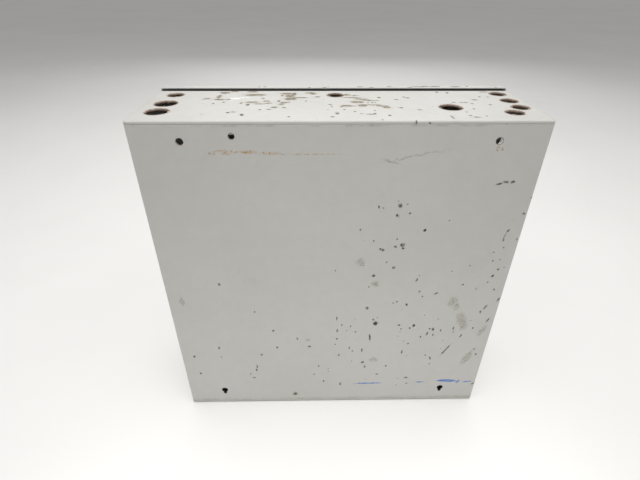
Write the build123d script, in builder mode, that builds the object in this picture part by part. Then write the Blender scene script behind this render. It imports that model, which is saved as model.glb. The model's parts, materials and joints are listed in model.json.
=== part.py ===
from build123d import *
import os

# A residential load center: sheet-steel box, screwed-on cover with a hinged door, and the
# breaker interior behind the dead front.  Millimetres.  +Z is up, the back faces +Y, and
# the origin is the centre of the back's outer face.

# ---- Enclosure ---------------------------------------------------------------------------
BOX_WIDTH = 362.0
BOX_HEIGHT = 366.0
BOX_DEPTH = 104.8
SHEET = 1.5
BEND_RADIUS = 2.0
CORNER_RADIUS = 2.0
HALF_W = BOX_WIDTH / 2
HALF_H = BOX_HEIGHT / 2
FRONT_FLANGE = 16.0             # width of the inward return along the box's front edge
END_FLANGE_INSET = 0.2          # gap between the end walls' and the sides' front returns
LAP_LIP = 2.6                   # height of the end wall's flush lip on the back
LAP_SEAM = 0.2
LAP_FLANGE = 12.0               # weld flange of an end wall
TAB_Y = (-98.0, -10.0)          # extent of an end wall's weld tab on each side

TOP_HOLE_X = 137.0              # mounting holes, from the centre line
TOP_HOLE_Z = 165.4
TOP_HOLE_RADIUS = 3.2
KEYHOLE_Z = -159.5
KEYHOLE_RADIUS = 3.6
KEYHOLE_SLOT_RADIUS = 1.9
KEYHOLE_DROP = 5.2
PLUMB_HOLE = (92.6, 170.0)
PLUMB_HOLE_RADIUS = 2.75

# ---- Conduit knockouts -------------------------------------------------------------------
KO_LARGE = 11.1                 # radius for half-inch conduit fittings
KO_SMALL = 8.75                 # radius for cable clamps
KO_RINGS = (11.1, 14.2, 17.8, 22.2)
SLIT = 0.5
TIE = 3.0
OPEN_LARGE = ((161.0, -28.0), (161.0, -55.3), (-103.3, -41.1))
OPEN_SMALL = (
    (160.6, -87.9),
    (0.7, -87.0),
    (-165.4, -91.0),
    (-166.4, -64.2),
    (-167.6, -40.7),
    (-155.5, -23.8),
)
BOTTOM_LARGE = ((-150.0, -42.0), (-112.0, -42.0), (112.0, -42.0), (150.0, -42.0))
BOTTOM_SMALL = ((-150.0, -78.0), (-112.0, -78.0), (112.0, -78.0), (150.0, -78.0))
BOTTOM_CONCENTRIC = (0.0, -52.0)
SIDE_LARGE = ((-42.0, 140.0), (-78.0, 140.0), (-42.0, -140.0), (-78.0, -140.0))
SIDE_SMALL = ((-30.0, 100.0), (-30.0, -100.0))
SIDE_CONCENTRIC = (-52.0, 0.0)

# ---- Cover and dead front ----------------------------------------------------------------
COVER_SHEET = 1.2
COVER_OVERHANG = 1.5
COVER_FACE = -122.0             # y of the cover's outer face
COVER_BACK = COVER_FACE + COVER_SHEET
LIP_END = -111.5                # y where the cover's lip stops short of the box
COVER_HALF_W = HALF_W + COVER_OVERHANG
COVER_HALF_H = HALF_H + COVER_OVERHANG
COVER_EDGE_RADIUS = 2.0
DOOR_OPENING_W = 98.0           # half sizes of the door opening
DOOR_OPENING_H = 138.0
WELL_W = 106.0                  # half sizes inside the dead front's well
WELL_H = 146.0
WELL_FLANGE = 10.0
DEAD_FRONT = (-99.2, -98.0)
COVER_SCREW_X = 170.0
COVER_SCREW_Z = 165.0
COVER_SCREW_RADIUS = 2.4
COVER_SCREW_HEAD = 4.6
COVER_SCREW_HEAD_HEIGHT = 2.4
COVER_SCREW_END = -BOX_DEPTH + SHEET
STANDOFF_RADIUS = 4.8
GASKET_WIDTH = 3.6
GASKET_INSET = 1.4
SCREW_CLEARANCE = 0.3
DRIVE_SLOT = 1.0                # width of a screwdriver slot

# ---- Door, hinges and latch --------------------------------------------------------------
DOOR_GAP = 1.2
DOOR_W = DOOR_OPENING_W - DOOR_GAP
DOOR_H = DOOR_OPENING_H - DOOR_GAP
DOOR_HEM_END = -114.0
HINGE_AXIS = (97.4, -124.6)
HINGE_Z = (95.0, -95.0)
KNUCKLE_RADIUS = 2.4
KNUCKLE_LENGTH = 12.0
KNUCKLE_GAP = 0.3
PIN_RADIUS = 1.1
PIN_CLEARANCE = 0.05
PIN_HEAD_RADIUS = 2.0
PIN_HEAD = 1.2
LEAF_SHEET = 1.2
LEAF_SPAN = 14.6                # from the pin's axis to a leaf's free edge
LEAF_RELIEF = 2.9               # from the pin's axis to where a leaf becomes full length
LEAF_RIVET_RADIUS = 2.2
LEAF_RIVET_HEIGHT = 0.9

LATCH_X = (-92.8, -62.2)        # outside of the bezel's body
LATCH_Z = 12.8
LATCH_WALL = 2.8
LATCH_BACK = -112.6
LATCH_BACK_WALL = 0.8
BEZEL_FRONT = -123.5
BEZEL_BORDER = 2.6
BEZEL_OVERHANG = 2.0            # how far the bezel's frame covers the slider's edges
SLIDER_GAP = 0.1
SLIDER_TRAVEL = 6.0
SLIDER_PLATE = (-121.5, -119.4)
SLIDER_BACK = -113.8
SLIDER_BLOCK = 8.0
TONGUE_X = -97.6
TONGUE_Y = (-120.0, -117.6)
TONGUE_Z = 7.0
GRIP_RIBS = 4
GRIP_RIB = 1.6
GRIP_PITCH = 3.6
GRIP_FRONT = -123.2
SPRING_RADIUS = 1.7
SPRING_WIRE = 0.25
SPRING_TURNS = 8
SPRING_Y = -116.3

CARD_X = (-52.0, 80.0)
CARD_Z = 112.0
CARD_THICKNESS = 0.4

# ---- Interior pan, rails and bus ---------------------------------------------------------
PAN_SHEET = 1.2
PAN_FRONT = -22.0
PAN_HALF_W = 78.0
PAN_HALF_H = 135.0
PAN_FOOT = 12.0
STUD_X = 84.0
STUD_Z = 120.0
STUD_RADIUS = 2.4
STUD_END = -12.0
NUT_FLATS = 8.0
NUT_HEIGHT = 4.0
RAIL_X = (62.0, 74.0)
RAIL_SHEET = 1.2
RAIL_FRONT = -44.0
RAIL_Z = (-112.0, 40.0)

INSULATOR_HALF_W = 60.0
INSULATOR_Z = (-114.0, 124.0)
INSULATOR_FRONT = -36.0
BUS_CHANNEL = 22.0
BUS_Y = (-33.0, -30.0)
BUS_X = (8.0, 20.0)
BUS_Z = (-112.0, 66.0)
STAB_THICKNESS = 2.0
STAB_REACH = 16.0
STAB_FRONT = -46.0
STAB_CLEAR = -36.6              # underside of a stab where it crosses the other bar
BUS_SCREW_Z = 47.0
BUS_SCREW_RADIUS = 2.0
BUS_SCREW_HEAD = 3.6
BUS_SCREW_HEAD_HEIGHT = 2.2

# ---- Neutral and ground bars -------------------------------------------------------------
NEUTRAL_X = 108.0
NEUTRAL_HALF = 4.5
NEUTRAL_Y = (-41.0, -30.0)
NEUTRAL_Z = (-132.0, 50.0)
NEUTRAL_SCREWS = 11
NEUTRAL_FIRST_Z = 38.0
TERMINAL_PITCH = 13.0
WIRE_HOLE_RADIUS = 2.6
TERMINAL_SCREW_RADIUS = 2.2
TERMINAL_HEAD_RADIUS = 3.1
TERMINAL_HEAD_HEIGHT = 2.4
TERMINAL_SCREW_LIFT = 1.5       # space left under a backed-off terminal screw's head
STANDOFF_BLOCKS_Z = (-85.0, 16.0)
STANDOFF_BLOCK = 9.0            # half length of a neutral bar's insulator
STANDOFF_HALF = 8.0
CROSS_STRAP_Z = (-130.0, -118.0)
CROSS_STRAP = 1.5
NEUTRAL_LUG_Y = (-46.0, -28.0)
NEUTRAL_LUG_HALF = 9.0
NEUTRAL_LUG_TOP = 72.0
LUG_BORE = 6.0
LUG_SCREW_RADIUS = 4.0
LUG_SOCKET_RADIUS = 2.6
BOND_SCREW_Z = -112.0
BOND_SCREW_RADIUS = 2.4
GROUND_X = (-78.0, 34.0)
GROUND_Y = (-14.0, -4.5)
GROUND_Z = (-153.0, -144.0)
GROUND_SCREWS = 8
GROUND_FOOT = 10.0

# ---- Branch breakers ---------------------------------------------------------------------
PITCH = 25.4
ROWS = 6
ROW_TOP = 42.0
CASE_GAP = 0.4
CASE_X = (6.0, 82.0)
CASE_Y = (-92.0, -36.0)
NOSE_X = (14.0, 52.0)
NOSE_FRONT = -101.5
NOSE_HALF_Z = 9.5
WINDOW_GAP = 0.5
CASE_ROUND = 1.0
PIVOT_X = 33.0
PIVOT_Y = -94.0
HUB_RADIUS = 5.5
HUB_HALF_Z = 4.3
TOGGLE_SLOT_HALF_Z = 4.6
TOGGLE_SLOT_HALF_X = 6.8
TOGGLE_SLOT_FLOOR = -87.5
TRUNNION_RADIUS = 1.5
TRUNNION_END = 6.7
TRUNNION_HOLE_END = 7.0
TOGGLE_REACH = 15.5
TOGGLE_HALF = 2.8
TOGGLE_TILT = 20.0
TIE_REACH = (11.2, 14.6)
JAW_HALF_Z = 4.0
JAW_X = 18.5
JAW_TOP = -51.0
JAW_LEAF = 0.9
JAW_SLACK = 0.1
HOOK_SLOT = 0.5
TERMINAL_X = 72.0
TERMINAL_WELL = 4.3
TERMINAL_HEAD_Y = -84.0
TERMINAL_TIP_Y = -74.0
WIRE_PORT_RADIUS = 4.0
WIRE_PORT_Y = -71.0
WIRE_PORT_X = 62.0
BREAKERS = (
    ("left_double", 1, (0, 1)),
    ("left_single_a", 1, (2,)),
    ("left_single_b", 1, (3,)),
    ("right_double", -1, (0, 1)),
    ("right_single_a", -1, (2,)),
    ("right_single_b", -1, (3,)),
    ("right_single_c", -1, (4,)),
)
SPARE_SPACES = ((1, 4), (1, 5), (-1, 5))
TWISTOUT_SHEET = 1.2
TWISTOUT_GAP = 0.15
TWISTOUT_TAB = 5.0

# ---- Main breaker ------------------------------------------------------------------------
MAIN_HALF_W = 37.0
MAIN_Z = (52.0, 122.0)
MAIN_SPLIT = -62.0
MAIN_NOSE_HALF_W = 22.0
MAIN_NOSE_Z = (68.0, 106.0)
MAIN_PIVOT = (-93.0, 87.0)
MAIN_HUB_RADIUS = 7.0
MAIN_HUB_HALF_X = 9.0
MAIN_SLOT_HALF_X = 9.3
MAIN_SLOT_HALF_Z = 9.5
MAIN_SLOT_FLOOR = -84.5
MAIN_TRUNNION_RADIUS = 2.0
MAIN_TRUNNION_END = 12.0
MAIN_REACH = 20.0
MAIN_LEVER_HALF = 4.0
MAIN_TILT = 18.0
MAIN_RIVET_X = 31.0
MAIN_RIVET_Z = (58.0, 116.0)
MAIN_RIVET_RADIUS = 1.8
MAIN_RIVET_HEAD = 3.2
MAIN_RIVET_RECESS = 2.0
MAIN_RIVET_END = -46.0
LINE_LUG_X = 20.0
LINE_LUG_HALF = 8.0
LINE_LUG_Y = (-66.0, -48.0)
LINE_LUG_Z = (122.0, 141.0)
LINE_TONGUE = (-52.0, -49.0)
LINE_TONGUE_HALF = 6.0
LINE_TONGUE_DEPTH = 12.0
LINE_SCREW_TOP = -70.0


# ---- Helpers -----------------------------------------------------------------------------
def slab(x, y, z, mode=Mode.ADD):
    """A box given by its (low, high) pair on each axis."""
    middle = tuple((low + high) / 2 for low, high in (x, y, z))
    size = tuple(high - low for low, high in (x, y, z))
    with Locations(middle):
        Box(*size, mode=mode)


def rod(axis, radius, span, at, mode=Mode.ADD):
    """A cylinder along a row axis over span, at the given place on the other two axes."""
    middle = (span[0] + span[1]) / 2
    if axis == "x":
        place = Location((middle, at[0], at[1]), (0, 90, 0))
    elif axis == "y":
        place = Location((at[0], middle, at[1]), (90, 0, 0))
    else:
        place = Location((at[0], at[1], middle))
    with Locations(place):
        Cylinder(radius, span[1] - span[0], mode=mode)


def on_side(side, span):
    """A span measured outwards from the centre line, on the +X (1) or -X (-1) side."""
    ends = (side * span[0], side * span[1])
    return (min(ends), max(ends))


def around(middle, half):
    """The span of one half size to each side of a middle."""
    return (middle - half, middle + half)


def knockout_slit(center, normal, radius):
    """A narrow ring cut through the sheet and held by two ties."""
    with BuildSketch(Plane(origin=center, z_dir=normal), mode=Mode.PRIVATE) as ring:
        Circle(radius + SLIT / 2)
        Circle(radius - SLIT / 2, mode=Mode.SUBTRACT)
        Rectangle(TIE, 4 * radius, mode=Mode.SUBTRACT)
    extrude(ring.sketch, amount=2 * SHEET, both=True, mode=Mode.SUBTRACT)


def row_z(row):
    """Height of a breaker space's centre."""
    return ROW_TOP - (row + 0.5) * PITCH


def save(builder, label):
    """Name a finished piece and write it."""
    builder.part.label = label
    export_step(builder.part, f"parts/{label}.step")


# ---- Enclosure ---------------------------------------------------------------------------
def make_enclosure_wrap():
    """Back and both sides folded from one sheet, with a return along the front edges."""
    through = (-2 * SHEET, SHEET)
    with BuildPart() as enclosure_wrap:
        with BuildSketch(Plane.XY.offset(-HALF_H)):
            with Locations((0, -BOX_DEPTH / 2)):
                RectangleRounded(BOX_WIDTH, BOX_DEPTH, BEND_RADIUS)
                RectangleRounded(
                    BOX_WIDTH - 2 * SHEET,
                    BOX_DEPTH - 2 * SHEET,
                    BEND_RADIUS - SHEET,
                    mode=Mode.SUBTRACT,
                )
            with Locations((0, -BOX_DEPTH)):
                Rectangle(BOX_WIDTH - 2 * FRONT_FLANGE, 4 * SHEET, mode=Mode.SUBTRACT)
        extrude(amount=BOX_HEIGHT)
        lap_x = (-HALF_W + BEND_RADIUS, HALF_W - BEND_RADIUS)
        back_end = HALF_H - LAP_LIP - LAP_SEAM
        for end in (1, -1):
            slab(lap_x, through, on_side(end, (back_end, HALF_H + SHEET)), Mode.SUBTRACT)
        for side in (1, -1):
            hole_x = side * TOP_HOLE_X
            slot_end = KEYHOLE_Z - KEYHOLE_DROP
            rod("y", TOP_HOLE_RADIUS, through, (hole_x, TOP_HOLE_Z), Mode.SUBTRACT)
            rod("y", KEYHOLE_RADIUS, through, (hole_x, KEYHOLE_Z), Mode.SUBTRACT)
            rod("y", KEYHOLE_SLOT_RADIUS, through, (hole_x, slot_end), Mode.SUBTRACT)
            slot_x = around(hole_x, KEYHOLE_SLOT_RADIUS)
            slab(slot_x, through, (slot_end, KEYHOLE_Z), Mode.SUBTRACT)
            for end in (1, -1):
                screw = (side * COVER_SCREW_X, end * COVER_SCREW_Z)
                flange = around(-BOX_DEPTH, 2 * SHEET)
                rod("y", COVER_SCREW_RADIUS, flange, screw, Mode.SUBTRACT)
            normal = (side, 0, 0)
            for y, z in SIDE_LARGE:
                knockout_slit((side * HALF_W, y, z), normal, KO_LARGE)
            for y, z in SIDE_SMALL:
                knockout_slit((side * HALF_W, y, z), normal, KO_SMALL)
            y, z = SIDE_CONCENTRIC
            for radius in KO_RINGS:
                knockout_slit((side * HALF_W, y, z), normal, radius)
        rod("y", PLUMB_HOLE_RADIUS, through, PLUMB_HOLE, Mode.SUBTRACT)
        with BuildSketch(Plane.YZ, mode=Mode.PRIVATE) as side_outline:
            with Locations((-BOX_DEPTH / 2, 0)):
                RectangleRounded(BOX_DEPTH, BOX_HEIGHT, CORNER_RADIUS)
            with Locations((-BOX_DEPTH, 0)):
                Rectangle(4 * CORNER_RADIUS, BOX_HEIGHT)
        extrude(side_outline.sketch, amount=HALF_W, both=True, mode=Mode.INTERSECT)
    save(enclosure_wrap, "enclosure_wrap")


def end_wall_sheet(end):
    """An end wall's sheet: plate, front return, lapped back lip and weld tabs."""
    outer = on_side(end, (HALF_H - SHEET, HALF_H))
    inner_w = HALF_W - SHEET
    lip_w = HALF_W - BEND_RADIUS - END_FLANGE_INSET
    return_w = HALF_W - FRONT_FLANGE - END_FLANGE_INSET
    front = (-BOX_DEPTH, -BOX_DEPTH + SHEET)
    flange_z = on_side(end, (HALF_H - LAP_FLANGE, HALF_H))
    slab((-inner_w, inner_w), (-BOX_DEPTH + BEND_RADIUS, -BEND_RADIUS), outer)
    slab((-lip_w, lip_w), (-BOX_DEPTH + SHEET, 0), outer)
    slab((-return_w, return_w), front, on_side(end, (HALF_H - FRONT_FLANGE, HALF_H)))
    slab((-lip_w, lip_w), (-2 * SHEET, 0), on_side(end, (HALF_H - LAP_LIP, HALF_H)))
    slab((-lip_w, lip_w), (-2 * SHEET, -SHEET), flange_z)
    for side in (1, -1):
        slab(on_side(side, (inner_w - SHEET, inner_w)), TAB_Y, flange_z)
    long_edges = edges().filter_by(Axis.X).filter_by(lambda e: e.center().Y > -SHEET / 2)
    fillet(long_edges.filter_by(lambda e: end * e.center().Z > HALF_H - SHEET / 2), SHEET)


def make_top_end_wall():
    """The end wall whose nine knockouts have been punched out."""
    through = (HALF_H - 2 * SHEET, HALF_H + SHEET)
    with BuildPart() as top_end_wall:
        end_wall_sheet(1)
        for place in OPEN_LARGE:
            rod("z", KO_LARGE, through, place, Mode.SUBTRACT)
        for place in OPEN_SMALL:
            rod("z", KO_SMALL, through, place, Mode.SUBTRACT)
    save(top_end_wall, "top_end_wall")


def make_bottom_end_wall():
    """The other end wall, with its knockouts still in place."""
    normal = (0, 0, -1)
    with BuildPart() as bottom_end_wall:
        end_wall_sheet(-1)
        for x, y in BOTTOM_LARGE:
            knockout_slit((x, y, -HALF_H), normal, KO_LARGE)
        for x, y in BOTTOM_SMALL:
            knockout_slit((x, y, -HALF_H), normal, KO_SMALL)
        for radius in KO_RINGS:
            knockout_slit((*BOTTOM_CONCENTRIC, -HALF_H), normal, radius)
    save(bottom_end_wall, "bottom_end_wall")


# ---- Cover and dead front ----------------------------------------------------------------
def cover_screw_places():
    """Where the cover is screwed to the box, in X and Z."""
    return [(sx * COVER_SCREW_X, sz * COVER_SCREW_Z) for sx in (1, -1) for sz in (1, -1)]


def make_cover_trim():
    """The cover's face with its turned-back lip and the door opening."""
    outer_x = (-COVER_HALF_W, COVER_HALF_W)
    outer_z = (-COVER_HALF_H, COVER_HALF_H)
    inner_x = (-COVER_HALF_W + COVER_SHEET, COVER_HALF_W - COVER_SHEET)
    inner_z = (-COVER_HALF_H + COVER_SHEET, COVER_HALF_H - COVER_SHEET)
    with BuildPart() as cover_trim:
        slab(outer_x, (COVER_FACE, LIP_END), outer_z)
        fillet(edges().filter_by(Axis.Y), BEND_RADIUS)
        fillet(faces().sort_by(Axis.Y)[0].edges(), COVER_EDGE_RADIUS)
        slab(inner_x, (COVER_BACK, LIP_END), inner_z, Mode.SUBTRACT)
        slab(
            (-DOOR_OPENING_W, DOOR_OPENING_W),
            (COVER_FACE, COVER_BACK),
            (-DOOR_OPENING_H, DOOR_OPENING_H),
            Mode.SUBTRACT,
        )
        for place in cover_screw_places():
            hole = COVER_SCREW_RADIUS + SCREW_CLEARANCE
            rod("y", hole, (COVER_FACE, COVER_BACK), place, Mode.SUBTRACT)
    save(cover_trim, "cover_trim")


def make_cover_standoffs():
    """Sleeves round the cover screws that hold the cover's face off the box."""
    with BuildPart() as cover_standoffs:
        for place in cover_screw_places():
            span = (COVER_BACK, -BOX_DEPTH)
            rod("y", STANDOFF_RADIUS, span, place)
            rod("y", COVER_SCREW_RADIUS + SCREW_CLEARANCE, span, place, Mode.SUBTRACT)
    save(cover_standoffs, "cover_standoffs")


def make_cover_gasket():
    """The foam strip between the box's front return and the cover's face."""
    outer_w = HALF_W - GASKET_INSET
    outer_h = HALF_H - GASKET_INSET
    inner_w = outer_w - GASKET_WIDTH
    inner_h = outer_h - GASKET_WIDTH
    span = (COVER_BACK, -BOX_DEPTH)
    with BuildPart() as cover_gasket:
        slab((-outer_w, outer_w), span, (-outer_h, outer_h))
        slab((-inner_w, inner_w), span, (-inner_h, inner_h), Mode.SUBTRACT)
    save(cover_gasket, "cover_gasket")


def make_cover_screws():
    """Slotted pan-head screws at the cover's corners."""
    with BuildPart() as cover_screws:
        for place in cover_screw_places():
            slotted_screw(
                place,
                (COVER_FACE - COVER_SCREW_HEAD_HEIGHT, COVER_FACE),
                COVER_SCREW_HEAD,
                COVER_SCREW_RADIUS,
                COVER_SCREW_END,
            )
    save(cover_screws, "cover_screws")


def window_places():
    """Side and row of every branch breaker window in the dead front."""
    return [(side, row) for side in (1, -1) for row in range(ROWS)]


def make_dead_front():
    """The plate behind the door that the breakers' noses pass through, with its well."""
    well_x = (-WELL_W, WELL_W)
    well_z = (-WELL_H, WELL_H)
    grown_x = (-WELL_W - COVER_SHEET, WELL_W + COVER_SHEET)
    grown_z = (-WELL_H - COVER_SHEET, WELL_H + COVER_SHEET)
    flange_x = (-WELL_W - WELL_FLANGE, WELL_W + WELL_FLANGE)
    flange_z = (-WELL_H - WELL_FLANGE, WELL_H + WELL_FLANGE)
    with BuildPart() as dead_front:
        slab(grown_x, (COVER_BACK, DEAD_FRONT[1]), grown_z)
        slab(flange_x, (COVER_BACK, COVER_BACK + COVER_SHEET), flange_z)
        slab(well_x, (COVER_BACK, DEAD_FRONT[0]), well_z, Mode.SUBTRACT)
        for side, row in window_places():
            window_x = on_side(side, (NOSE_X[0] - WINDOW_GAP, NOSE_X[1] + WINDOW_GAP))
            window_z = around(row_z(row), NOSE_HALF_Z + WINDOW_GAP)
            slab(window_x, DEAD_FRONT, window_z, Mode.SUBTRACT)
        main_x = MAIN_NOSE_HALF_W + WINDOW_GAP
        main_z = (MAIN_NOSE_Z[0] - WINDOW_GAP, MAIN_NOSE_Z[1] + WINDOW_GAP)
        slab((-main_x, main_x), DEAD_FRONT, main_z, Mode.SUBTRACT)
    save(dead_front, "dead_front")


def make_twistouts():
    """Filler plates that close the spare breaker windows."""
    with BuildPart() as twistouts:
        for side, row in SPARE_SPACES:
            reach = WINDOW_GAP - TWISTOUT_GAP
            plate_x = on_side(side, (NOSE_X[0] - reach, NOSE_X[1] + reach))
            tab_x = on_side(side, (NOSE_X[0] - TWISTOUT_TAB / 2, NOSE_X[1] + TWISTOUT_TAB / 2))
            plate_z = around(row_z(row), NOSE_HALF_Z + reach)
            tab_z = around(row_z(row), TWISTOUT_TAB)
            slab(plate_x, DEAD_FRONT, plate_z)
            slab(tab_x, (DEAD_FRONT[1], DEAD_FRONT[1] + TWISTOUT_SHEET), tab_z)
    save(twistouts, "twistouts")


# ---- Door, hinges and latch --------------------------------------------------------------
def make_door():
    """The hinged door: face, turned-in hem, latch cutout and a notch for the tongue."""
    inner_w = DOOR_W - COVER_SHEET
    inner_h = DOOR_H - COVER_SHEET
    with BuildPart() as door:
        slab((-DOOR_W, DOOR_W), (COVER_FACE, DOOR_HEM_END), (-DOOR_H, DOOR_H))
        fillet(edges().filter_by(Axis.Y), BEND_RADIUS / 2)
        fillet(faces().sort_by(Axis.Y)[0].edges(), COVER_SHEET / 2)
        inside = (COVER_BACK, DOOR_HEM_END)
        slab((-inner_w, inner_w), inside, (-inner_h, inner_h), Mode.SUBTRACT)
        cutout_z = around(0, LATCH_Z)
        slab(LATCH_X, (COVER_FACE, COVER_BACK), cutout_z, Mode.SUBTRACT)
        notch_z = around(0, TONGUE_Z + 2 * SLIDER_GAP)
        slab((-DOOR_W, LATCH_X[0]), inside, notch_z, Mode.SUBTRACT)
    save(door, "door")


def leaf_rivets(center_x, middle_z):
    """The flattened rivet heads that hold a hinge leaf."""
    leaf_face = COVER_FACE - LEAF_SHEET
    for end in (1, -1):
        place = (center_x, middle_z + end * KNUCKLE_LENGTH)
        rod("y", LEAF_RIVET_RADIUS, (leaf_face - LEAF_RIVET_HEIGHT, leaf_face), place)


def hinge_leaf(middle_z, sign, knuckles):
    """One leaf with its knuckles; sign points from the pin to the leaf's free edge."""
    axis_x = HINGE_AXIS[0]
    leaf_y = (COVER_FACE - LEAF_SHEET, COVER_FACE)
    half = 1.5 * KNUCKLE_LENGTH
    full = (axis_x + sign * LEAF_RELIEF, axis_x + sign * LEAF_SPAN)
    slab((min(full), max(full)), leaf_y, around(middle_z, half))
    neck = (axis_x, axis_x + sign * LEAF_RELIEF)
    for knuckle in knuckles:
        center = middle_z + knuckle * KNUCKLE_LENGTH
        span = around(center, (KNUCKLE_LENGTH - KNUCKLE_GAP) / 2)
        slab((min(neck), max(neck)), leaf_y, span)
        rod("z", KNUCKLE_RADIUS, span, HINGE_AXIS)
        rod("z", PIN_RADIUS + PIN_CLEARANCE, span, HINGE_AXIS, Mode.SUBTRACT)
    leaf_rivets(axis_x + sign * (LEAF_RELIEF + LEAF_SPAN) / 2, middle_z)


def make_hinges():
    """Both hinges: the leaves on the cover, the leaves on the door, and their pins."""
    with BuildPart() as frame_hinge_leaves:
        for middle_z in HINGE_Z:
            hinge_leaf(middle_z, 1, (-1, 1))
    save(frame_hinge_leaves, "frame_hinge_leaves")
    with BuildPart() as door_hinge_leaves:
        for middle_z in HINGE_Z:
            hinge_leaf(middle_z, -1, (0,))
    save(door_hinge_leaves, "door_hinge_leaves")
    with BuildPart() as hinge_pins:
        for middle_z in HINGE_Z:
            top = middle_z + 1.5 * KNUCKLE_LENGTH
            rod("z", PIN_RADIUS, (middle_z - 1.5 * KNUCKLE_LENGTH, top), HINGE_AXIS)
            rod("z", PIN_HEAD_RADIUS, (top, top + PIN_HEAD), HINGE_AXIS)
    save(hinge_pins, "hinge_pins")


def make_latch_bezel():
    """The latch's moulded frame, snapped into the door."""
    pocket_x = (LATCH_X[0] + LATCH_WALL, LATCH_X[1] - LATCH_WALL)
    pocket_z = around(0, LATCH_Z - LATCH_WALL)
    opening_x = (pocket_x[0] + BEZEL_OVERHANG, pocket_x[1] - BEZEL_OVERHANG)
    opening_z = around(0, LATCH_Z - LATCH_WALL - BEZEL_OVERHANG)
    frame_x = (LATCH_X[0] - BEZEL_BORDER, LATCH_X[1] + BEZEL_BORDER)
    with BuildPart() as latch_bezel:
        slab(frame_x, (BEZEL_FRONT, COVER_FACE), around(0, LATCH_Z + BEZEL_BORDER))
        fillet(edges().filter_by(Axis.Y), BEND_RADIUS)
        fillet(faces().sort_by(Axis.Y)[0].edges(), COVER_SHEET / 2)
        slab(LATCH_X, (COVER_FACE, LATCH_BACK), around(0, LATCH_Z))
        slab(pocket_x, (COVER_FACE, LATCH_BACK - LATCH_BACK_WALL), pocket_z, Mode.SUBTRACT)
        slab(opening_x, (BEZEL_FRONT, COVER_FACE), opening_z, Mode.SUBTRACT)
        slot_y = (TONGUE_Y[0] - 2 * SLIDER_GAP, TONGUE_Y[1] + 2 * SLIDER_GAP)
        slot_z = around(0, TONGUE_Z + 2 * SLIDER_GAP)
        slab((LATCH_X[0], pocket_x[0]), slot_y, slot_z, Mode.SUBTRACT)
    save(latch_bezel, "latch_bezel")


def make_latch_slider():
    """The sliding finger piece with its tongue and grip ribs."""
    pocket_x = (LATCH_X[0] + LATCH_WALL, LATCH_X[1] - LATCH_WALL)
    slider_x = (pocket_x[0] + SLIDER_GAP, pocket_x[1] - SLIDER_TRAVEL - SLIDER_GAP)
    half_z = LATCH_Z - LATCH_WALL - 2 * SLIDER_GAP
    rib_half_z = half_z - BEZEL_OVERHANG - 2 * SLIDER_GAP
    with BuildPart() as latch_slider:
        slab(slider_x, SLIDER_PLATE, around(0, half_z))
        block_x = (slider_x[0], slider_x[0] + SLIDER_BLOCK)
        slab(block_x, (SLIDER_PLATE[0], SLIDER_BACK), around(0, half_z))
        slab((TONGUE_X, slider_x[0]), TONGUE_Y, around(0, TONGUE_Z))
        first = pocket_x[0] + BEZEL_OVERHANG + GRIP_RIB
        for rib in range(GRIP_RIBS):
            rib_x = around(first + rib * GRIP_PITCH, GRIP_RIB / 2)
            slab(rib_x, (GRIP_FRONT, SLIDER_PLATE[0]), around(0, rib_half_z))
    save(latch_slider, "latch_slider")


def make_latch_spring():
    """The coil spring that returns the latch slider."""
    start = LATCH_X[0] + LATCH_WALL + SLIDER_GAP + SLIDER_BLOCK + SPRING_WIRE
    end = LATCH_X[1] - LATCH_WALL - SPRING_WIRE
    length = end - start
    with BuildPart() as latch_spring:
        with BuildLine() as coil:
            Helix(
                pitch=length / SPRING_TURNS,
                height=length,
                radius=SPRING_RADIUS,
                center=(start, SPRING_Y, 0),
                direction=(1, 0, 0),
            )
        with BuildSketch(Plane(origin=coil.line @ 0, z_dir=coil.line % 0)):
            Circle(SPRING_WIRE)
        sweep()
    save(latch_spring, "latch_spring")


def make_directory_card():
    """The circuit directory card stuck inside the door."""
    with BuildPart() as directory_card:
        slab(CARD_X, (COVER_BACK, COVER_BACK + CARD_THICKNESS), (-CARD_Z, CARD_Z))
    save(directory_card, "directory_card")


# ---- Screws ------------------------------------------------------------------------------
def slotted_screw(place, head_y, head_radius, shank_radius, tip_y):
    """A cylindrical-head screw along Y with a screwdriver slot, head towards the front."""
    rod("y", head_radius, head_y, place)
    rod("y", shank_radius, (head_y[1], tip_y), place)
    slot_y = (head_y[0], head_y[0] + (head_y[1] - head_y[0]) / 2)
    slab(
        around(place[0], head_radius),
        slot_y,
        around(place[1], DRIVE_SLOT / 2),
        Mode.SUBTRACT,
    )


# ---- Interior pan, rails and bus ---------------------------------------------------------
def make_interior_pan():
    """The raised pan that carries the whole interior."""
    back = -SHEET
    pan_back = PAN_FRONT + PAN_SHEET
    pan_z = (-PAN_HALF_H, PAN_HALF_H)
    with BuildPart() as interior_pan:
        slab((-PAN_HALF_W, PAN_HALF_W), (PAN_FRONT, pan_back), pan_z)
        for side in (1, -1):
            slab(on_side(side, (PAN_HALF_W - PAN_SHEET, PAN_HALF_W)), (PAN_FRONT, back), pan_z)
            foot_x = on_side(side, (PAN_HALF_W - PAN_SHEET, PAN_HALF_W + PAN_FOOT))
            slab(foot_x, (back - PAN_SHEET, back), pan_z)
            for end in (1, -1):
                hole = (side * STUD_X, end * STUD_Z)
                foot_y = (back - PAN_SHEET, back)
                rod("y", STUD_RADIUS + SCREW_CLEARANCE, foot_y, hole, Mode.SUBTRACT)
    save(interior_pan, "interior_pan")


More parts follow.
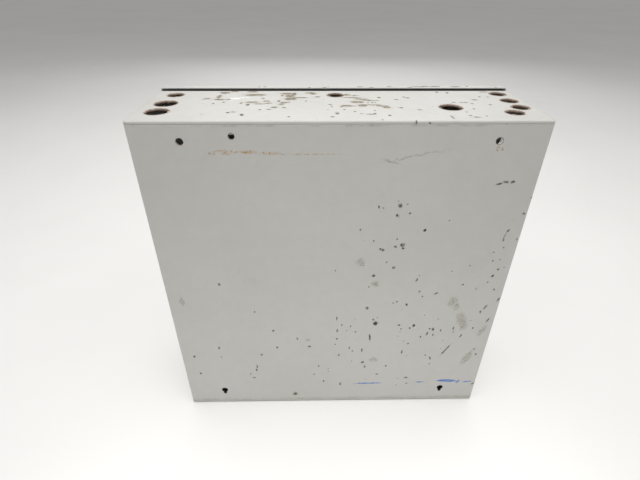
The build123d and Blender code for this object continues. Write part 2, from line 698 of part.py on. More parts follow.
def make_pan_studs_and_nuts():
    """Studs welded to the back, and the nuts that hold the pan on them."""
    places = [(sx * STUD_X, sz * STUD_Z) for sx in (1, -1) for sz in (1, -1)]
    nut_back = -SHEET - PAN_SHEET
    with BuildPart() as pan_studs:
        for place in places:
            rod("y", STUD_RADIUS, (STUD_END, -SHEET), place)
    save(pan_studs, "pan_studs")
    with BuildPart() as pan_nuts:
        with BuildSketch(Plane(origin=(0, nut_back, 0), z_dir=(0, -1, 0))):
            with Locations(*places):
                RegularPolygon(NUT_FLATS / 2, 6, major_radius=False)
                Circle(STUD_RADIUS, mode=Mode.SUBTRACT)
        extrude(amount=NUT_HEIGHT)
    save(pan_nuts, "pan_nuts")


def make_breaker_rail(side, label):
    """The upright that the outer ends of one column of breakers hook on."""
    upright_x = on_side(side, (RAIL_X[1] - RAIL_SHEET, RAIL_X[1]))
    with BuildPart() as breaker_rail:
        slab(on_side(side, RAIL_X), (PAN_FRONT - RAIL_SHEET, PAN_FRONT), RAIL_Z)
        slab(upright_x, (RAIL_FRONT, PAN_FRONT), RAIL_Z)
    save(breaker_rail, label)


def bus_screw_places():
    """Where the bus bars are screwed down, in X and Z."""
    middle_x = (BUS_X[0] + BUS_X[1]) / 2
    return [(side * middle_x, BUS_SCREW_Z) for side in (1, -1)]


def make_bus_insulator():
    """The moulded base under the bus bars and breakers, channelled for the bars."""
    with BuildPart() as bus_insulator:
        base_x = (-INSULATOR_HALF_W, INSULATOR_HALF_W)
        slab(base_x, (INSULATOR_FRONT, PAN_FRONT), INSULATOR_Z)
        channel_y = (INSULATOR_FRONT, BUS_Y[1])
        slab((-BUS_CHANNEL, BUS_CHANNEL), channel_y, INSULATOR_Z, Mode.SUBTRACT)
        for place in bus_screw_places():
            rod("y", BUS_SCREW_RADIUS, (BUS_Y[1], PAN_FRONT), place, Mode.SUBTRACT)
    save(bus_insulator, "bus_insulator")


def make_bus_bar(side, label):
    """One leg's bar, with a stab for every other row of breakers."""
    first_row = 0 if side > 0 else 1
    with BuildPart() as bus_bar:
        slab(on_side(side, BUS_X), BUS_Y, BUS_Z)
        for row in range(first_row, ROWS, 2):
            stab_z = around(row_z(row), STAB_THICKNESS / 2)
            slab((-STAB_REACH, STAB_REACH), (STAB_FRONT, STAB_CLEAR), stab_z)
            slab(on_side(side, (BUS_X[0], STAB_REACH)), (STAB_CLEAR, BUS_Y[0]), stab_z)
        for place in bus_screw_places():
            rod("y", BUS_SCREW_RADIUS, BUS_Y, place, Mode.SUBTRACT)
    save(bus_bar, label)


def make_bus_screws():
    """The screws through the bus bars into the insulator."""
    with BuildPart() as bus_screws:
        for place in bus_screw_places():
            head_y = (BUS_Y[0] - BUS_SCREW_HEAD_HEIGHT, BUS_Y[0])
            slotted_screw(place, head_y, BUS_SCREW_HEAD, BUS_SCREW_RADIUS, PAN_FRONT)
    save(bus_screws, "bus_screws")


# ---- Neutral and ground bars -------------------------------------------------------------
def neutral_screw_heights():
    """Heights of the wire screws along a neutral bar."""
    return [NEUTRAL_FIRST_Z - n * TERMINAL_PITCH for n in range(NEUTRAL_SCREWS)]


def ground_screw_places():
    """Positions of the wire screws along the ground bar."""
    first = GROUND_X[0] + GROUND_FOOT
    return [first + n * TERMINAL_PITCH for n in range(GROUND_SCREWS)]


def make_neutral_bar(side, label):
    """A drilled neutral bar: wire holes across it, screw holes from the front."""
    middle_y = (NEUTRAL_Y[0] + NEUTRAL_Y[1]) / 2
    bar_x = around(side * NEUTRAL_X, NEUTRAL_HALF)
    with BuildPart() as neutral_bar:
        slab(bar_x, NEUTRAL_Y, NEUTRAL_Z)
        for height in neutral_screw_heights():
            rod("x", WIRE_HOLE_RADIUS, bar_x, (middle_y, height), Mode.SUBTRACT)
            screw = (side * NEUTRAL_X, height)
            screw_y = (NEUTRAL_Y[0], middle_y)
            rod("y", TERMINAL_SCREW_RADIUS, screw_y, screw, Mode.SUBTRACT)
        if side < 0:
            bond = (side * NEUTRAL_X, BOND_SCREW_Z)
            rod("y", BOND_SCREW_RADIUS, NEUTRAL_Y, bond, Mode.SUBTRACT)
    save(neutral_bar, label)


def make_neutral_insulators():
    """The blocks that hold the neutral bars off the back."""
    with BuildPart() as neutral_insulators:
        for side in (1, -1):
            for height in STANDOFF_BLOCKS_Z:
                block_x = around(side * NEUTRAL_X, STANDOFF_HALF)
                slab(block_x, (NEUTRAL_Y[1], -SHEET), around(height, STANDOFF_BLOCK))
                for end in (1, -1):
                    cheek_x = on_side(end, (NEUTRAL_HALF, STANDOFF_HALF))
                    cheek_x = (side * NEUTRAL_X + cheek_x[0], side * NEUTRAL_X + cheek_x[1])
                    cheek_y = (NEUTRAL_Y[1] - STANDOFF_HALF / 2, NEUTRAL_Y[1])
                    slab(cheek_x, cheek_y, around(height, STANDOFF_BLOCK / 4))
        fillet(edges().filter_by(Axis.Y).group_by(SortBy.LENGTH)[-1], 1.0)
    save(neutral_insulators, "neutral_insulators")


def make_neutral_cross_strap():
    """The strap that joins the two neutral bars below the bus."""
    reach = NEUTRAL_X + NEUTRAL_HALF
    bond = (-NEUTRAL_X, BOND_SCREW_Z)
    with BuildPart() as neutral_cross_strap:
        strap_y = (NEUTRAL_Y[1], NEUTRAL_Y[1] + CROSS_STRAP)
        slab((-reach, reach), strap_y, CROSS_STRAP_Z)
        rod("y", BOND_SCREW_RADIUS, strap_y, bond, Mode.SUBTRACT)
    save(neutral_cross_strap, "neutral_cross_strap")


def make_terminal_bar_screws():
    """Every wire screw of the neutral and ground bars."""
    middle_y = (NEUTRAL_Y[0] + NEUTRAL_Y[1]) / 2
    ground_middle_z = (GROUND_Z[0] + GROUND_Z[1]) / 2
    with BuildPart() as terminal_bar_screws:
        for side in (1, -1):
            for height in neutral_screw_heights():
                head_back = NEUTRAL_Y[0] - TERMINAL_SCREW_LIFT
                head_y = (head_back - TERMINAL_HEAD_HEIGHT, head_back)
                tip = middle_y - WIRE_HOLE_RADIUS / 2
                place = (side * NEUTRAL_X, height)
                slotted_screw(place, head_y, TERMINAL_HEAD_RADIUS, TERMINAL_SCREW_RADIUS, tip)
        for x in ground_screw_places():
            head_back = GROUND_Y[0] - TERMINAL_SCREW_LIFT
            head_y = (head_back - TERMINAL_HEAD_HEIGHT, head_back)
            tip = (GROUND_Y[0] + GROUND_Y[1]) / 2 - WIRE_HOLE_RADIUS / 2
            place = (x, ground_middle_z)
            slotted_screw(place, head_y, TERMINAL_HEAD_RADIUS, TERMINAL_SCREW_RADIUS, tip)
    save(terminal_bar_screws, "terminal_bar_screws")


def make_neutral_lug():
    """The service neutral's lug on the end of a neutral bar, and its set screw."""
    lug_x = around(NEUTRAL_X, NEUTRAL_LUG_HALF)
    lug_z = (NEUTRAL_Z[1], NEUTRAL_LUG_TOP)
    middle_y = (NEUTRAL_LUG_Y[0] + NEUTRAL_LUG_Y[1]) / 2
    screw_place = (NEUTRAL_X, (lug_z[0] + lug_z[1]) / 2)
    screw_y = (NEUTRAL_LUG_Y[0], middle_y)
    with BuildPart() as neutral_lug:
        slab(lug_x, NEUTRAL_LUG_Y, lug_z)
        rod("z", LUG_BORE, lug_z, (NEUTRAL_X, middle_y), Mode.SUBTRACT)
        rod("y", LUG_SCREW_RADIUS, screw_y, screw_place, Mode.SUBTRACT)
    save(neutral_lug, "neutral_lug")
    with BuildPart() as neutral_lug_screw:
        socket_screw(screw_place, (NEUTRAL_LUG_Y[0] - LUG_SCREW_RADIUS, middle_y - LUG_BORE))
    save(neutral_lug_screw, "neutral_lug_screw")


def socket_screw(place, span):
    """A headless hexagon-socket set screw along Y, socket towards the front."""
    rod("y", LUG_SCREW_RADIUS, span, place)
    socket = Plane(origin=(place[0], span[0], place[1]), z_dir=(0, 1, 0))
    with BuildSketch(socket, mode=Mode.PRIVATE) as hexagon:
        RegularPolygon(LUG_SOCKET_RADIUS, 6)
    extrude(hexagon.sketch, amount=(span[1] - span[0]) / 2, mode=Mode.SUBTRACT)


def make_bonding_screw():
    """The green screw that bonds the neutral to the enclosure."""
    with BuildPart() as bonding_screw:
        head_y = (NEUTRAL_Y[0] - TERMINAL_HEAD_HEIGHT, NEUTRAL_Y[0])
        place = (-NEUTRAL_X, BOND_SCREW_Z)
        slotted_screw(place, head_y, TERMINAL_HEAD_RADIUS + 1, BOND_SCREW_RADIUS, -SHEET)
    save(bonding_screw, "bonding_screw")


def make_ground_bar():
    """The equipment ground bar on its two feet."""
    middle_y = (GROUND_Y[0] + GROUND_Y[1]) / 2
    middle_z = (GROUND_Z[0] + GROUND_Z[1]) / 2
    with BuildPart() as ground_bar:
        slab(GROUND_X, GROUND_Y, GROUND_Z)
        slab((GROUND_X[0], GROUND_X[0] + GROUND_FOOT / 2), (GROUND_Y[1], -SHEET), GROUND_Z)
        slab((GROUND_X[1] - GROUND_FOOT / 2, GROUND_X[1]), (GROUND_Y[1], -SHEET), GROUND_Z)
        for x in ground_screw_places():
            rod("z", WIRE_HOLE_RADIUS, GROUND_Z, (x, middle_y), Mode.SUBTRACT)
            screw_y = (GROUND_Y[0], middle_y)
            rod("y", TERMINAL_SCREW_RADIUS, screw_y, (x, middle_z), Mode.SUBTRACT)
    save(ground_bar, "ground_bar")


# ---- Branch breakers ---------------------------------------------------------------------
def case_pole(side, row):
    """The features that every pole of a breaker's case has."""
    middle = row_z(row)
    pivot_x = side * PIVOT_X
    terminal_x = side * TERMINAL_X
    slab(on_side(side, NOSE_X), (NOSE_FRONT, CASE_Y[0]), around(middle, NOSE_HALF_Z))
    slab(
        around(pivot_x, TOGGLE_SLOT_HALF_X),
        (NOSE_FRONT, TOGGLE_SLOT_FLOOR),
        around(middle, TOGGLE_SLOT_HALF_Z),
        Mode.SUBTRACT,
    )
    hole = TRUNNION_RADIUS + PIN_CLEARANCE
    rod("z", hole, around(middle, TRUNNION_HOLE_END), (pivot_x, PIVOT_Y), Mode.SUBTRACT)
    jaw_x = on_side(side, (CASE_X[0], JAW_X))
    slab(jaw_x, (JAW_TOP, CASE_Y[1]), around(middle, JAW_HALF_Z), Mode.SUBTRACT)
    well_y = (CASE_Y[0], WIRE_PORT_Y)
    rod("y", TERMINAL_WELL, well_y, (terminal_x, middle), Mode.SUBTRACT)
    port_x = on_side(side, (WIRE_PORT_X, CASE_X[1]))
    rod("x", WIRE_PORT_RADIUS, port_x, (WIRE_PORT_Y, middle), Mode.SUBTRACT)


def make_breaker_case(label, side, rows):
    """A moulded case with a nose, toggle slot, jaw recess and wire terminal per pole."""
    case_z = (
        row_z(rows[-1]) - (PITCH - CASE_GAP) / 2,
        row_z(rows[0]) + (PITCH - CASE_GAP) / 2,
    )
    hook_x = (RAIL_X[1] - RAIL_SHEET - HOOK_SLOT, RAIL_X[1] + HOOK_SLOT)
    with BuildPart() as case:
        slab(on_side(side, CASE_X), CASE_Y, case_z)
        fillet(edges().filter_by(Axis.Z), CASE_ROUND)
        slab(on_side(side, hook_x), (RAIL_FRONT - HOOK_SLOT, CASE_Y[1]), case_z, Mode.SUBTRACT)
        for row in rows:
            case_pole(side, row)
    save(case, f"breaker_{label}_case")


def make_breaker_toggle(label, side, rows):
    """A breaker's toggle, resting in its off position; two poles share a tie bar."""
    pivot_x = side * PIVOT_X
    with BuildPart() as toggle:
        for row in rows:
            middle = row_z(row)
            rod("z", HUB_RADIUS, around(middle, HUB_HALF_Z), (pivot_x, PIVOT_Y))
            rod("z", TRUNNION_RADIUS, around(middle, TRUNNION_END), (pivot_x, PIVOT_Y))
            pivot = Location((pivot_x, PIVOT_Y, middle), (0, 0, side * TOGGLE_TILT))
            with Locations(pivot * Location((0, -TOGGLE_REACH / 2, 0))):
                Box(2 * TOGGLE_HALF, TOGGLE_REACH, 2 * HUB_HALF_Z)
        if len(rows) > 1:
            middle = (row_z(rows[0]) + row_z(rows[-1])) / 2
            pivot = Location((pivot_x, PIVOT_Y, middle), (0, 0, side * TOGGLE_TILT))
            tie_middle = (TIE_REACH[0] + TIE_REACH[1]) / 2
            with Locations(pivot * Location((0, -tie_middle, 0))):
                Box(TOGGLE_HALF, TIE_REACH[1] - TIE_REACH[0], PITCH)
    save(toggle, f"breaker_{label}_toggle")


def breaker_poles():
    """Side and row of every fitted breaker pole."""
    return [(side, row) for _, side, rows in BREAKERS for row in rows]


def make_breaker_line_clips():
    """The sprung jaws that grip the bus stabs, one pair of leaves per pole."""
    with BuildPart() as breaker_line_clips:
        for side, row in breaker_poles():
            middle = row_z(row)
            inner = STAB_THICKNESS / 2 + JAW_SLACK
            clip_x = on_side(side, (CASE_X[0] + 1, STAB_REACH))
            for leaf in (1, -1):
                offset = on_side(leaf, (inner, inner + JAW_LEAF))
                leaf_z = (middle + offset[0], middle + offset[1])
                slab(clip_x, (JAW_TOP, STAB_CLEAR - 1), leaf_z)
            bridge_z = around(middle, inner + JAW_LEAF)
            slab(clip_x, (JAW_TOP, JAW_TOP + JAW_LEAF), bridge_z)
    save(breaker_line_clips, "breaker_line_clips")


def make_breaker_terminal_screws():
    """The wire screw of every breaker pole."""
    with BuildPart() as breaker_terminal_screws:
        for side, row in breaker_poles():
            head_y = (TERMINAL_HEAD_Y, TERMINAL_HEAD_Y + TERMINAL_HEAD_HEIGHT)
            slotted_screw(
                (side * TERMINAL_X, row_z(row)),
                head_y,
                TERMINAL_WELL - SCREW_CLEARANCE,
                TERMINAL_SCREW_RADIUS,
                TERMINAL_TIP_Y,
            )
    save(breaker_terminal_screws, "breaker_terminal_screws")


# ---- Main breaker ------------------------------------------------------------------------
def main_rivet_places():
    """Where the main breaker's two case halves are riveted, in X and Z."""
    return [(side * MAIN_RIVET_X, z) for side in (1, -1) for z in MAIN_RIVET_Z]


def make_main_breaker_base():
    """The main breaker's base, notched for the line lugs' tongues."""
    main_x = (-MAIN_HALF_W, MAIN_HALF_W)
    with BuildPart() as main_breaker_base:
        slab(main_x, (MAIN_SPLIT, INSULATOR_FRONT), MAIN_Z)
        for side in (1, -1):
            tongue_x = around(side * LINE_LUG_X, LINE_TONGUE_HALF)
            tongue_z = (MAIN_Z[1] - LINE_TONGUE_DEPTH, MAIN_Z[1])
            slab(tongue_x, LINE_TONGUE, tongue_z, Mode.SUBTRACT)
        for place in main_rivet_places():
            rod("y", MAIN_RIVET_RADIUS, (MAIN_SPLIT, MAIN_RIVET_END), place, Mode.SUBTRACT)
    save(main_breaker_base, "main_breaker_base")


def make_main_breaker_cover():
    """The main breaker's cover with its nose, handle slot and pivot holes."""
    pivot_z = MAIN_PIVOT[1]
    with BuildPart() as main_breaker_cover:
        slab((-MAIN_HALF_W, MAIN_HALF_W), (CASE_Y[0], MAIN_SPLIT), MAIN_Z)
        fillet(faces().sort_by(Axis.Y)[0].edges(), CASE_ROUND)
        nose_x = (-MAIN_NOSE_HALF_W, MAIN_NOSE_HALF_W)
        slab(nose_x, (NOSE_FRONT, CASE_Y[0]), MAIN_NOSE_Z)
        slot_x = (-MAIN_SLOT_HALF_X, MAIN_SLOT_HALF_X)
        slot_z = around(pivot_z, MAIN_SLOT_HALF_Z)
        slab(slot_x, (NOSE_FRONT, MAIN_SLOT_FLOOR), slot_z, Mode.SUBTRACT)
        hole = MAIN_TRUNNION_RADIUS + PIN_CLEARANCE
        hole_x = around(0, MAIN_TRUNNION_END + SCREW_CLEARANCE)
        rod("x", hole, hole_x, MAIN_PIVOT, Mode.SUBTRACT)
        for place in main_rivet_places():
            rod("y", MAIN_RIVET_RADIUS, (CASE_Y[0], MAIN_SPLIT), place, Mode.SUBTRACT)
            recess_y = (CASE_Y[0], CASE_Y[0] + MAIN_RIVET_RECESS)
            rod("y", MAIN_RIVET_HEAD + SCREW_CLEARANCE, recess_y, place, Mode.SUBTRACT)
    save(main_breaker_cover, "main_breaker_cover")


def make_main_breaker_handle():
    """The main breaker's handle, resting in its off position."""
    with BuildPart() as main_breaker_handle:
        rod("x", MAIN_HUB_RADIUS, around(0, MAIN_HUB_HALF_X), MAIN_PIVOT)
        rod("x", MAIN_TRUNNION_RADIUS, around(0, MAIN_TRUNNION_END), MAIN_PIVOT)
        pivot = Location((0, *MAIN_PIVOT), (MAIN_TILT, 0, 0))
        with Locations(pivot * Location((0, -MAIN_REACH / 2, 0))):
            Box(2 * MAIN_HUB_HALF_X, MAIN_REACH, 2 * MAIN_LEVER_HALF)
    save(main_breaker_handle, "main_breaker_handle")


def make_main_case_rivets():
    """The rivets that close the main breaker's case."""
    with BuildPart() as main_case_rivets:
        for place in main_rivet_places():
            head_back = CASE_Y[0] + MAIN_RIVET_RECESS
            rod("y", MAIN_RIVET_HEAD, (CASE_Y[0] + MAIN_RIVET_RECESS / 4, head_back), place)
            rod("y", MAIN_RIVET_RADIUS, (head_back, MAIN_RIVET_END), place)
    save(main_case_rivets, "main_case_rivets")


def make_main_line_lugs():
    """The service lugs on the main breaker's line end, and their set screws."""
    middle_y = (LINE_LUG_Y[0] + LINE_LUG_Y[1]) / 2
    middle_z = (LINE_LUG_Z[0] + LINE_LUG_Z[1]) / 2
    with BuildPart() as main_line_lugs:
        for side in (1, -1):
            lug_x = side * LINE_LUG_X
            slab(around(lug_x, LINE_LUG_HALF), LINE_LUG_Y, LINE_LUG_Z)
            rod("z", LUG_BORE, LINE_LUG_Z, (lug_x, middle_y), Mode.SUBTRACT)
            screw_y = (LINE_LUG_Y[0], middle_y)
            rod("y", LUG_SCREW_RADIUS, screw_y, (lug_x, middle_z), Mode.SUBTRACT)
            tongue_x = around(lug_x, LINE_TONGUE_HALF)
            tongue_z = (LINE_LUG_Z[0] - LINE_TONGUE_DEPTH, LINE_LUG_Z[0])
            slab(tongue_x, LINE_TONGUE, tongue_z)
    save(main_line_lugs, "main_line_lugs")
    with BuildPart() as main_lug_screws:
        for side in (1, -1):
            socket_screw((side * LINE_LUG_X, middle_z), (LINE_SCREW_TOP, middle_y - LUG_BORE))
    save(main_lug_screws, "main_lug_screws")


# ---- Build -------------------------------------------------------------------------------
os.makedirs("parts", exist_ok=True)
make_enclosure_wrap()
make_top_end_wall()
make_bottom_end_wall()
make_cover_trim()
make_cover_standoffs()
make_cover_gasket()
make_cover_screws()
make_dead_front()
make_twistouts()
make_door()
make_hinges()
make_latch_bezel()
make_latch_slider()
make_latch_spring()
make_directory_card()
make_interior_pan()
make_pan_studs_and_nuts()
make_breaker_rail(1, "breaker_rail_left")
make_breaker_rail(-1, "breaker_rail_right")
make_bus_insulator()
make_bus_bar(1, "bus_bar_a")
make_bus_bar(-1, "bus_bar_b")
make_bus_screws()
make_neutral_bar(1, "neutral_bar_left")
make_neutral_bar(-1, "neutral_bar_right")
make_neutral_insulators()
make_neutral_cross_strap()
make_neutral_lug()
make_terminal_bar_screws()
make_bonding_screw()
make_ground_bar()
for breaker, column, breaker_rows in BREAKERS:
    make_breaker_case(breaker, column, breaker_rows)
    make_breaker_toggle(breaker, column, breaker_rows)
make_breaker_line_clips()
make_breaker_terminal_screws()
make_main_breaker_base()
make_main_breaker_cover()
make_main_breaker_handle()
make_main_case_rivets()
make_main_line_lugs()
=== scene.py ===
import json
import math

import bmesh
import bpy
from mathutils import Matrix, Vector, noise


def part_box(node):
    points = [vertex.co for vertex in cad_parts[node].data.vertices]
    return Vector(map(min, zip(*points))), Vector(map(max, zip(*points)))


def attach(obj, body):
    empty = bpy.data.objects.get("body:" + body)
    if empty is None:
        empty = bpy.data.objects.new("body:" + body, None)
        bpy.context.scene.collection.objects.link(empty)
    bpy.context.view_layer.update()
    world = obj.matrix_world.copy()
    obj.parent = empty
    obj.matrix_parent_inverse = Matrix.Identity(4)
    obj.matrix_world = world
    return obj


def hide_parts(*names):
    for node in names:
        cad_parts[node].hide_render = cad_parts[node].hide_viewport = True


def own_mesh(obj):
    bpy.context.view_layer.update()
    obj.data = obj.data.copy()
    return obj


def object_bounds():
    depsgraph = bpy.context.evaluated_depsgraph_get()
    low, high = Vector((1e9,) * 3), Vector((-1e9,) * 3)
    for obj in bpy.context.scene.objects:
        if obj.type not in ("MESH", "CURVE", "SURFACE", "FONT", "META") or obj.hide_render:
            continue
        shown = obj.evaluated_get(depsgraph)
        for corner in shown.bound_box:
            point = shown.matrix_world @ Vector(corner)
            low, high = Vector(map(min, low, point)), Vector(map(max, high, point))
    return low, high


# The looks of a used residential load center: gray enamelled sheet steel with chips, rust,
# scuffs and raw knockout edges, plain hardware, and moulded breakers inside.
# Row frame, metres: +Z up, the back faces +Y, the door faces -Y.

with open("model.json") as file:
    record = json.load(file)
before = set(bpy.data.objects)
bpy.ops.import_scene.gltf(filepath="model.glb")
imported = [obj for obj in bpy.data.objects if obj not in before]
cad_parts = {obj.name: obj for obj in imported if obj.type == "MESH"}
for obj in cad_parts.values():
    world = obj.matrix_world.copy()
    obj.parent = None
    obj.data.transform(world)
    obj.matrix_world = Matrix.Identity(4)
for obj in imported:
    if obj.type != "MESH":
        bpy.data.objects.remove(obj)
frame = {"nodes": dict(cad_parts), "record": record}
CAD_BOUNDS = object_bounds()
MM = 0.001

HALF_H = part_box("enclosure_wrap")[1].z
SHEET = 1.5 * MM
MARK_DEPTH = 3 * MM              # how far a mark reaches into the sheet
FACE_LEVEL = {"top": HALF_H, "lip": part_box("cover_trim")[1].z}
MOUNTS = {m["name"]: m for m in frame["record"]["mounts"]}

# ---- Wear, in millimetres ----------------------------------------------------------------
# On the back, from its centre: x, z, half width, half height, turn in degrees.
BACK_CHIPS = (
    (-38, 102, 0.8, 1.7, 10), (-58, 103, 1.9, 1.9, 0), (-68, 95, 1.0, 1.1, 0),
    (-56, 93, 1.0, 1.3, 0), (-85, 76, 1.4, 1.6, 0), (-22, 77, 0.8, 0.9, 0),
    (-59, 66, 0.8, 0.8, 0), (-65, 59, 2.4, 2.1, 30), (-66, 55, 1.4, 1.2, 0),
    (-58, 57, 1.4, 1.2, -20), (-46, 53, 1.5, 1.5, 0), (-59, 31, 1.7, 1.7, 0),
    (-51, 38, 0.8, 1.0, 0), (-39, 21, 1.4, 1.7, 0), (-85, 15, 1.0, 2.4, -20),
    (-90, -1, 1.1, 1.4, 0), (-94, -8, 0.7, 0.8, 0), (-108, -4, 2.2, 1.1, 25),
    (-135, 8, 1.1, 0.8, 0), (-147, -68, 0.7, 2.9, -20), (-167, 75, 0.8, 2.3, -30),
    (-165, 64, 0.7, 1.4, 0), (-177, 94, 1.1, 1.2, 0), (-180, 111, 0.8, 1.7, 0),
    (-160, 39, 0.8, 0.9, 0), (-168, 28, 1.0, 1.3, 0), (-164, 19, 1.1, 1.9, -30),
    (-161, 11, 0.7, 1.1, 0), (-170, 1, 0.9, 1.1, 0), (-166, -24, 0.9, 3.2, -25),
    (-162, -31, 1.0, 2.1, 0), (-173, -44, 0.9, 3.4, -20), (-35, -24, 1.7, 1.9, 0),
    (-46, -47, 2.5, 3.1, 0), (-41, -69, 1.0, 4.9, 5), (-78, -19, 1.0, 1.9, 20),
    (-67, -15, 0.8, 1.0, 0), (-63, -17, 0.9, 0.9, 0), (-73, -50, 1.3, 1.1, 0),
    (-76, -56, 0.8, 0.9, 0), (-86, -55, 1.0, 1.4, 0), (-90, -51, 1.5, 1.9, 0),
    (-113, -57, 1.3, 2.4, 0), (-107, -64, 0.8, 2.9, -15), (-100, -69, 0.8, 1.6, 0),
    (-81, -94, 1.0, 2.8, 0), (-33, -90, 0.8, 3.1, 0), (-35, -111, 1.7, 1.6, 20),
    (-54, -133, 1.2, 1.3, 0), (-91, -140, 2.0, 1.1, 0), (-167, -90, 0.8, 1.2, 0),
    (-110, -100, 0.8, 1.0, 0), (-2, -39, 0.6, 3.0, 0), (-3, -58, 0.7, 2.5, 0),
    (-1, -80, 0.6, 1.0, 0), (-6, -98, 1.1, 1.7, 0), (-9, -151, 1.1, 2.7, 0), (1, 28, 0.6, 0.8, 0),
    (-178, -153, 2.6, 1.0, 40), (123, 11, 1.3, 1.6, 0), (89, -28, 0.9, 1.2, 0),
    (70, -57, 1.1, 1.3, 0), (98, -137, 1.7, 0.9, 0), (-133, -91, 0.9, 9.0, -27),
    (-146, 125, 2.8, 0.8, 15), (-152, 127, 2.6, 1.2, -5), (-158, 127, 2.0, 1.3, 10),
    (166, -98, 1.2, 1.8, 0),
    (135, -84, 1.0, 2.1, 0), (134, -99, 0.7, 1.1, 0), (163, -128, 1.0, 1.9, 0),
    (86, -96, 1.2, 1.8, 0), (93, -117, 0.8, 3.0, 0), (94, -123, 0.8, 1.9, 0),
    (102, -130, 0.6, 1.9, 0), (67, -84, 1.0, 1.7, 0), (43, -70, 0.7, 2.0, 0),
    (29, -83, 1.7, 1.4, 0), (-3, -71, 1.0, 1.3, 0), (12, -145, 1.0, 1.6, 0),
    (18, -117, 1.0, 1.5, 0), (24, -132, 0.8, 1.2, 0), (48, -169, 2.1, 2.5, 0),
    (-18, -86, 0.7, 1.7, 0), (-64, -118, 1.0, 1.1, 0), (-117, -115, 0.8, 1.1, 0),
    (-87, -80, 1.0, 1.0, 0), (-38, -119, 1.0, 1.9, 0), (-24, -60, 1.2, 1.0, 0),
    (-137, -62, 0.7, 1.0, 0), (-56, 108, 0.6, 0.6, 0), (-65, 105, 0.6, 0.6, 0),
    (-36, 64, 0.6, 0.7, 0), (-35, 6, 0.6, 1.2, 0), (-43, -41, 1.0, 1.4, 0),
    (-109, -56, 1.0, 1.4, 0), (-114, -66, 0.7, 1.5, 0), (-122, -59, 0.7, 1.4, 0),
    (-136, -56, 0.7, 2.4, 0), (-18, -51, 0.7, 1.4, 0), (-8, -49, 0.7, 1.4, 0),
    (-116, -104, 1.1, 1.6, 0), (-171, -99, 1.1, 1.6, 0), (-93, -151, 0.8, 1.2, 0),
    (-165, 69, 0.4, 4.2, -15), (-178, 65, 0.6, 1.1, 0),
    (-167, 40, 0.6, 0.8, 0), (-178, -13, 0.7, 2.6, -20),
)
BACK_SMEARS = (
    (-128, -16, 2.9, 4.3, -15), (-134, -23, 2.2, 2.9, 0), (-143, -43, 3.4, 7.7, 20),
    (-170, -60, 1.9, 5.4, -20), (-48, -107, 3.2, 2.5, 0), (-161, -105, 2.8, 8.6, -20),
    (166, -12, 1.3, 3.7, 0), (31, -72, 1.5, 1.8, 0), (48, -169, 2.3, 2.2, 0),
    (-64, 152, 19.0, 0.5, 12), (-45, 147, 6.0, 0.7, -14), (-57, 92, 1.1, 1.3, 0),
    (-24, 38, 2.8, 3.0, 0), (-41, 10, 2.9, 2.4, 0), (-147, -53, 2.8, 3.8, 0),
    (-163, -100, 2.2, 3.1, 0), (-151, 2, 1.0, 1.2, 0),
)
BACK_RUST = (
    (111, 155, 2.2, 1.2, 0), (104, 157, 3.4, 0.8, 0), (98, 156, 4.3, 1.7, 0),
    (87, 156, 4.6, 0.8, 0), (79, 156, 5.0, 1.3, 0), (66, 155, 2.4, 0.9, 0),
    (58, 155, 4.6, 0.9, 0), (33, 154, 27.0, 0.3, 0),
    (-137, 158.5, 1.3, 1.8, 0), (-141, 158, 0.9, 1.3, 0),
)
BACK_BLUE = (
    (-44, -150, 15.2, 0.9, 0), (-110, -149, 4.8, 0.8, 0), (-144, -147, 11.5, 2.1, -2),
    (-158, -149, 1.3, 3.1, -30), (-170, -149, 5.1, 1.0, 8),
)
# On the upper end wall: x, y, half width, half depth, turn in degrees.
TOP_SCUFFS = (
    (113, -97, 3.4, 2.8, 0), (104, -102, 2.9, 1.4, 0), (85, -101, 4.0, 1.9, 0),
    (81, -88, 7.3, 2.7, 0), (116, -81, 1.5, 4.4, 0), (114, -70, 3.8, 1.7, 0),
    (105, -70, 2.2, 1.3, 0), (126, -73, 1.9, 1.3, 0), (129, -72, 1.1, 1.3, 0),
    (91, -57, 0.8, 2.0, 0), (81, -60, 4.2, 1.6, 0), (68, -64, 2.1, 1.6, 0),
    (65, -56, 2.1, 1.6, 0), (73, -54, 4.2, 1.2, 0), (49, -93, 5.1, 2.3, 0),
    (46, -83, 3.3, 4.0, 0), (45, -72, 3.8, 3.4, 0), (36, -77, 5.5, 1.3, 0),
    (51, -58, 2.6, 2.0, -15), (53, -52, 2.1, 1.6, 0), (59, -42, 2.2, 1.9, 0),
    (50, -41, 1.4, 1.5, 0), (26, -96, 3.4, 1.9, 0), (23, -92, 2.3, 1.8, 0),
    (19, -80, 1.8, 1.3, 0), (-8, -47, 3.1, 2.3, 0), (2, -22, 1.2, 2.1, 0), (7, -12, 1.1, 1.3, 0),
    (94, -27, 1.5, 1.0, 0), (-11, -88, 2.5, 2.7, 0), (-18, -85, 3.1, 1.3, 0),
    (-15, -77, 6.6, 1.1, 6), (-24, -71, 4.9, 1.7, 5), (-32, -66, 5.9, 1.2, 3),
    (-19, -60, 4.2, 2.8, 0), (-10, -46, 4.1, 1.1, 0), (-23, -48, 3.1, 2.7, 0),
    (-32, -50, 5.2, 1.2, 0), (-41, -46, 4.1, 1.5, 8), (-44, -41, 2.6, 1.9, 0),
    (-57, -40, 1.4, 1.5, 0), (-27, -19, 2.9, 0.8, -5), (-73, -33, 1.4, 1.1, 0),
    (-117, -10, 2.4, 1.0, 6), (-154, -100, 2.9, 1.4, 0), (-96, -10, 0.8, 3.2, 0),
)
TOP_BRIGHT = (
    (99, -74, 4.2, 2.6, 0), (90, -77, 4.6, 1.2, 0), (103, -68, 2.0, 1.2, 0),
)
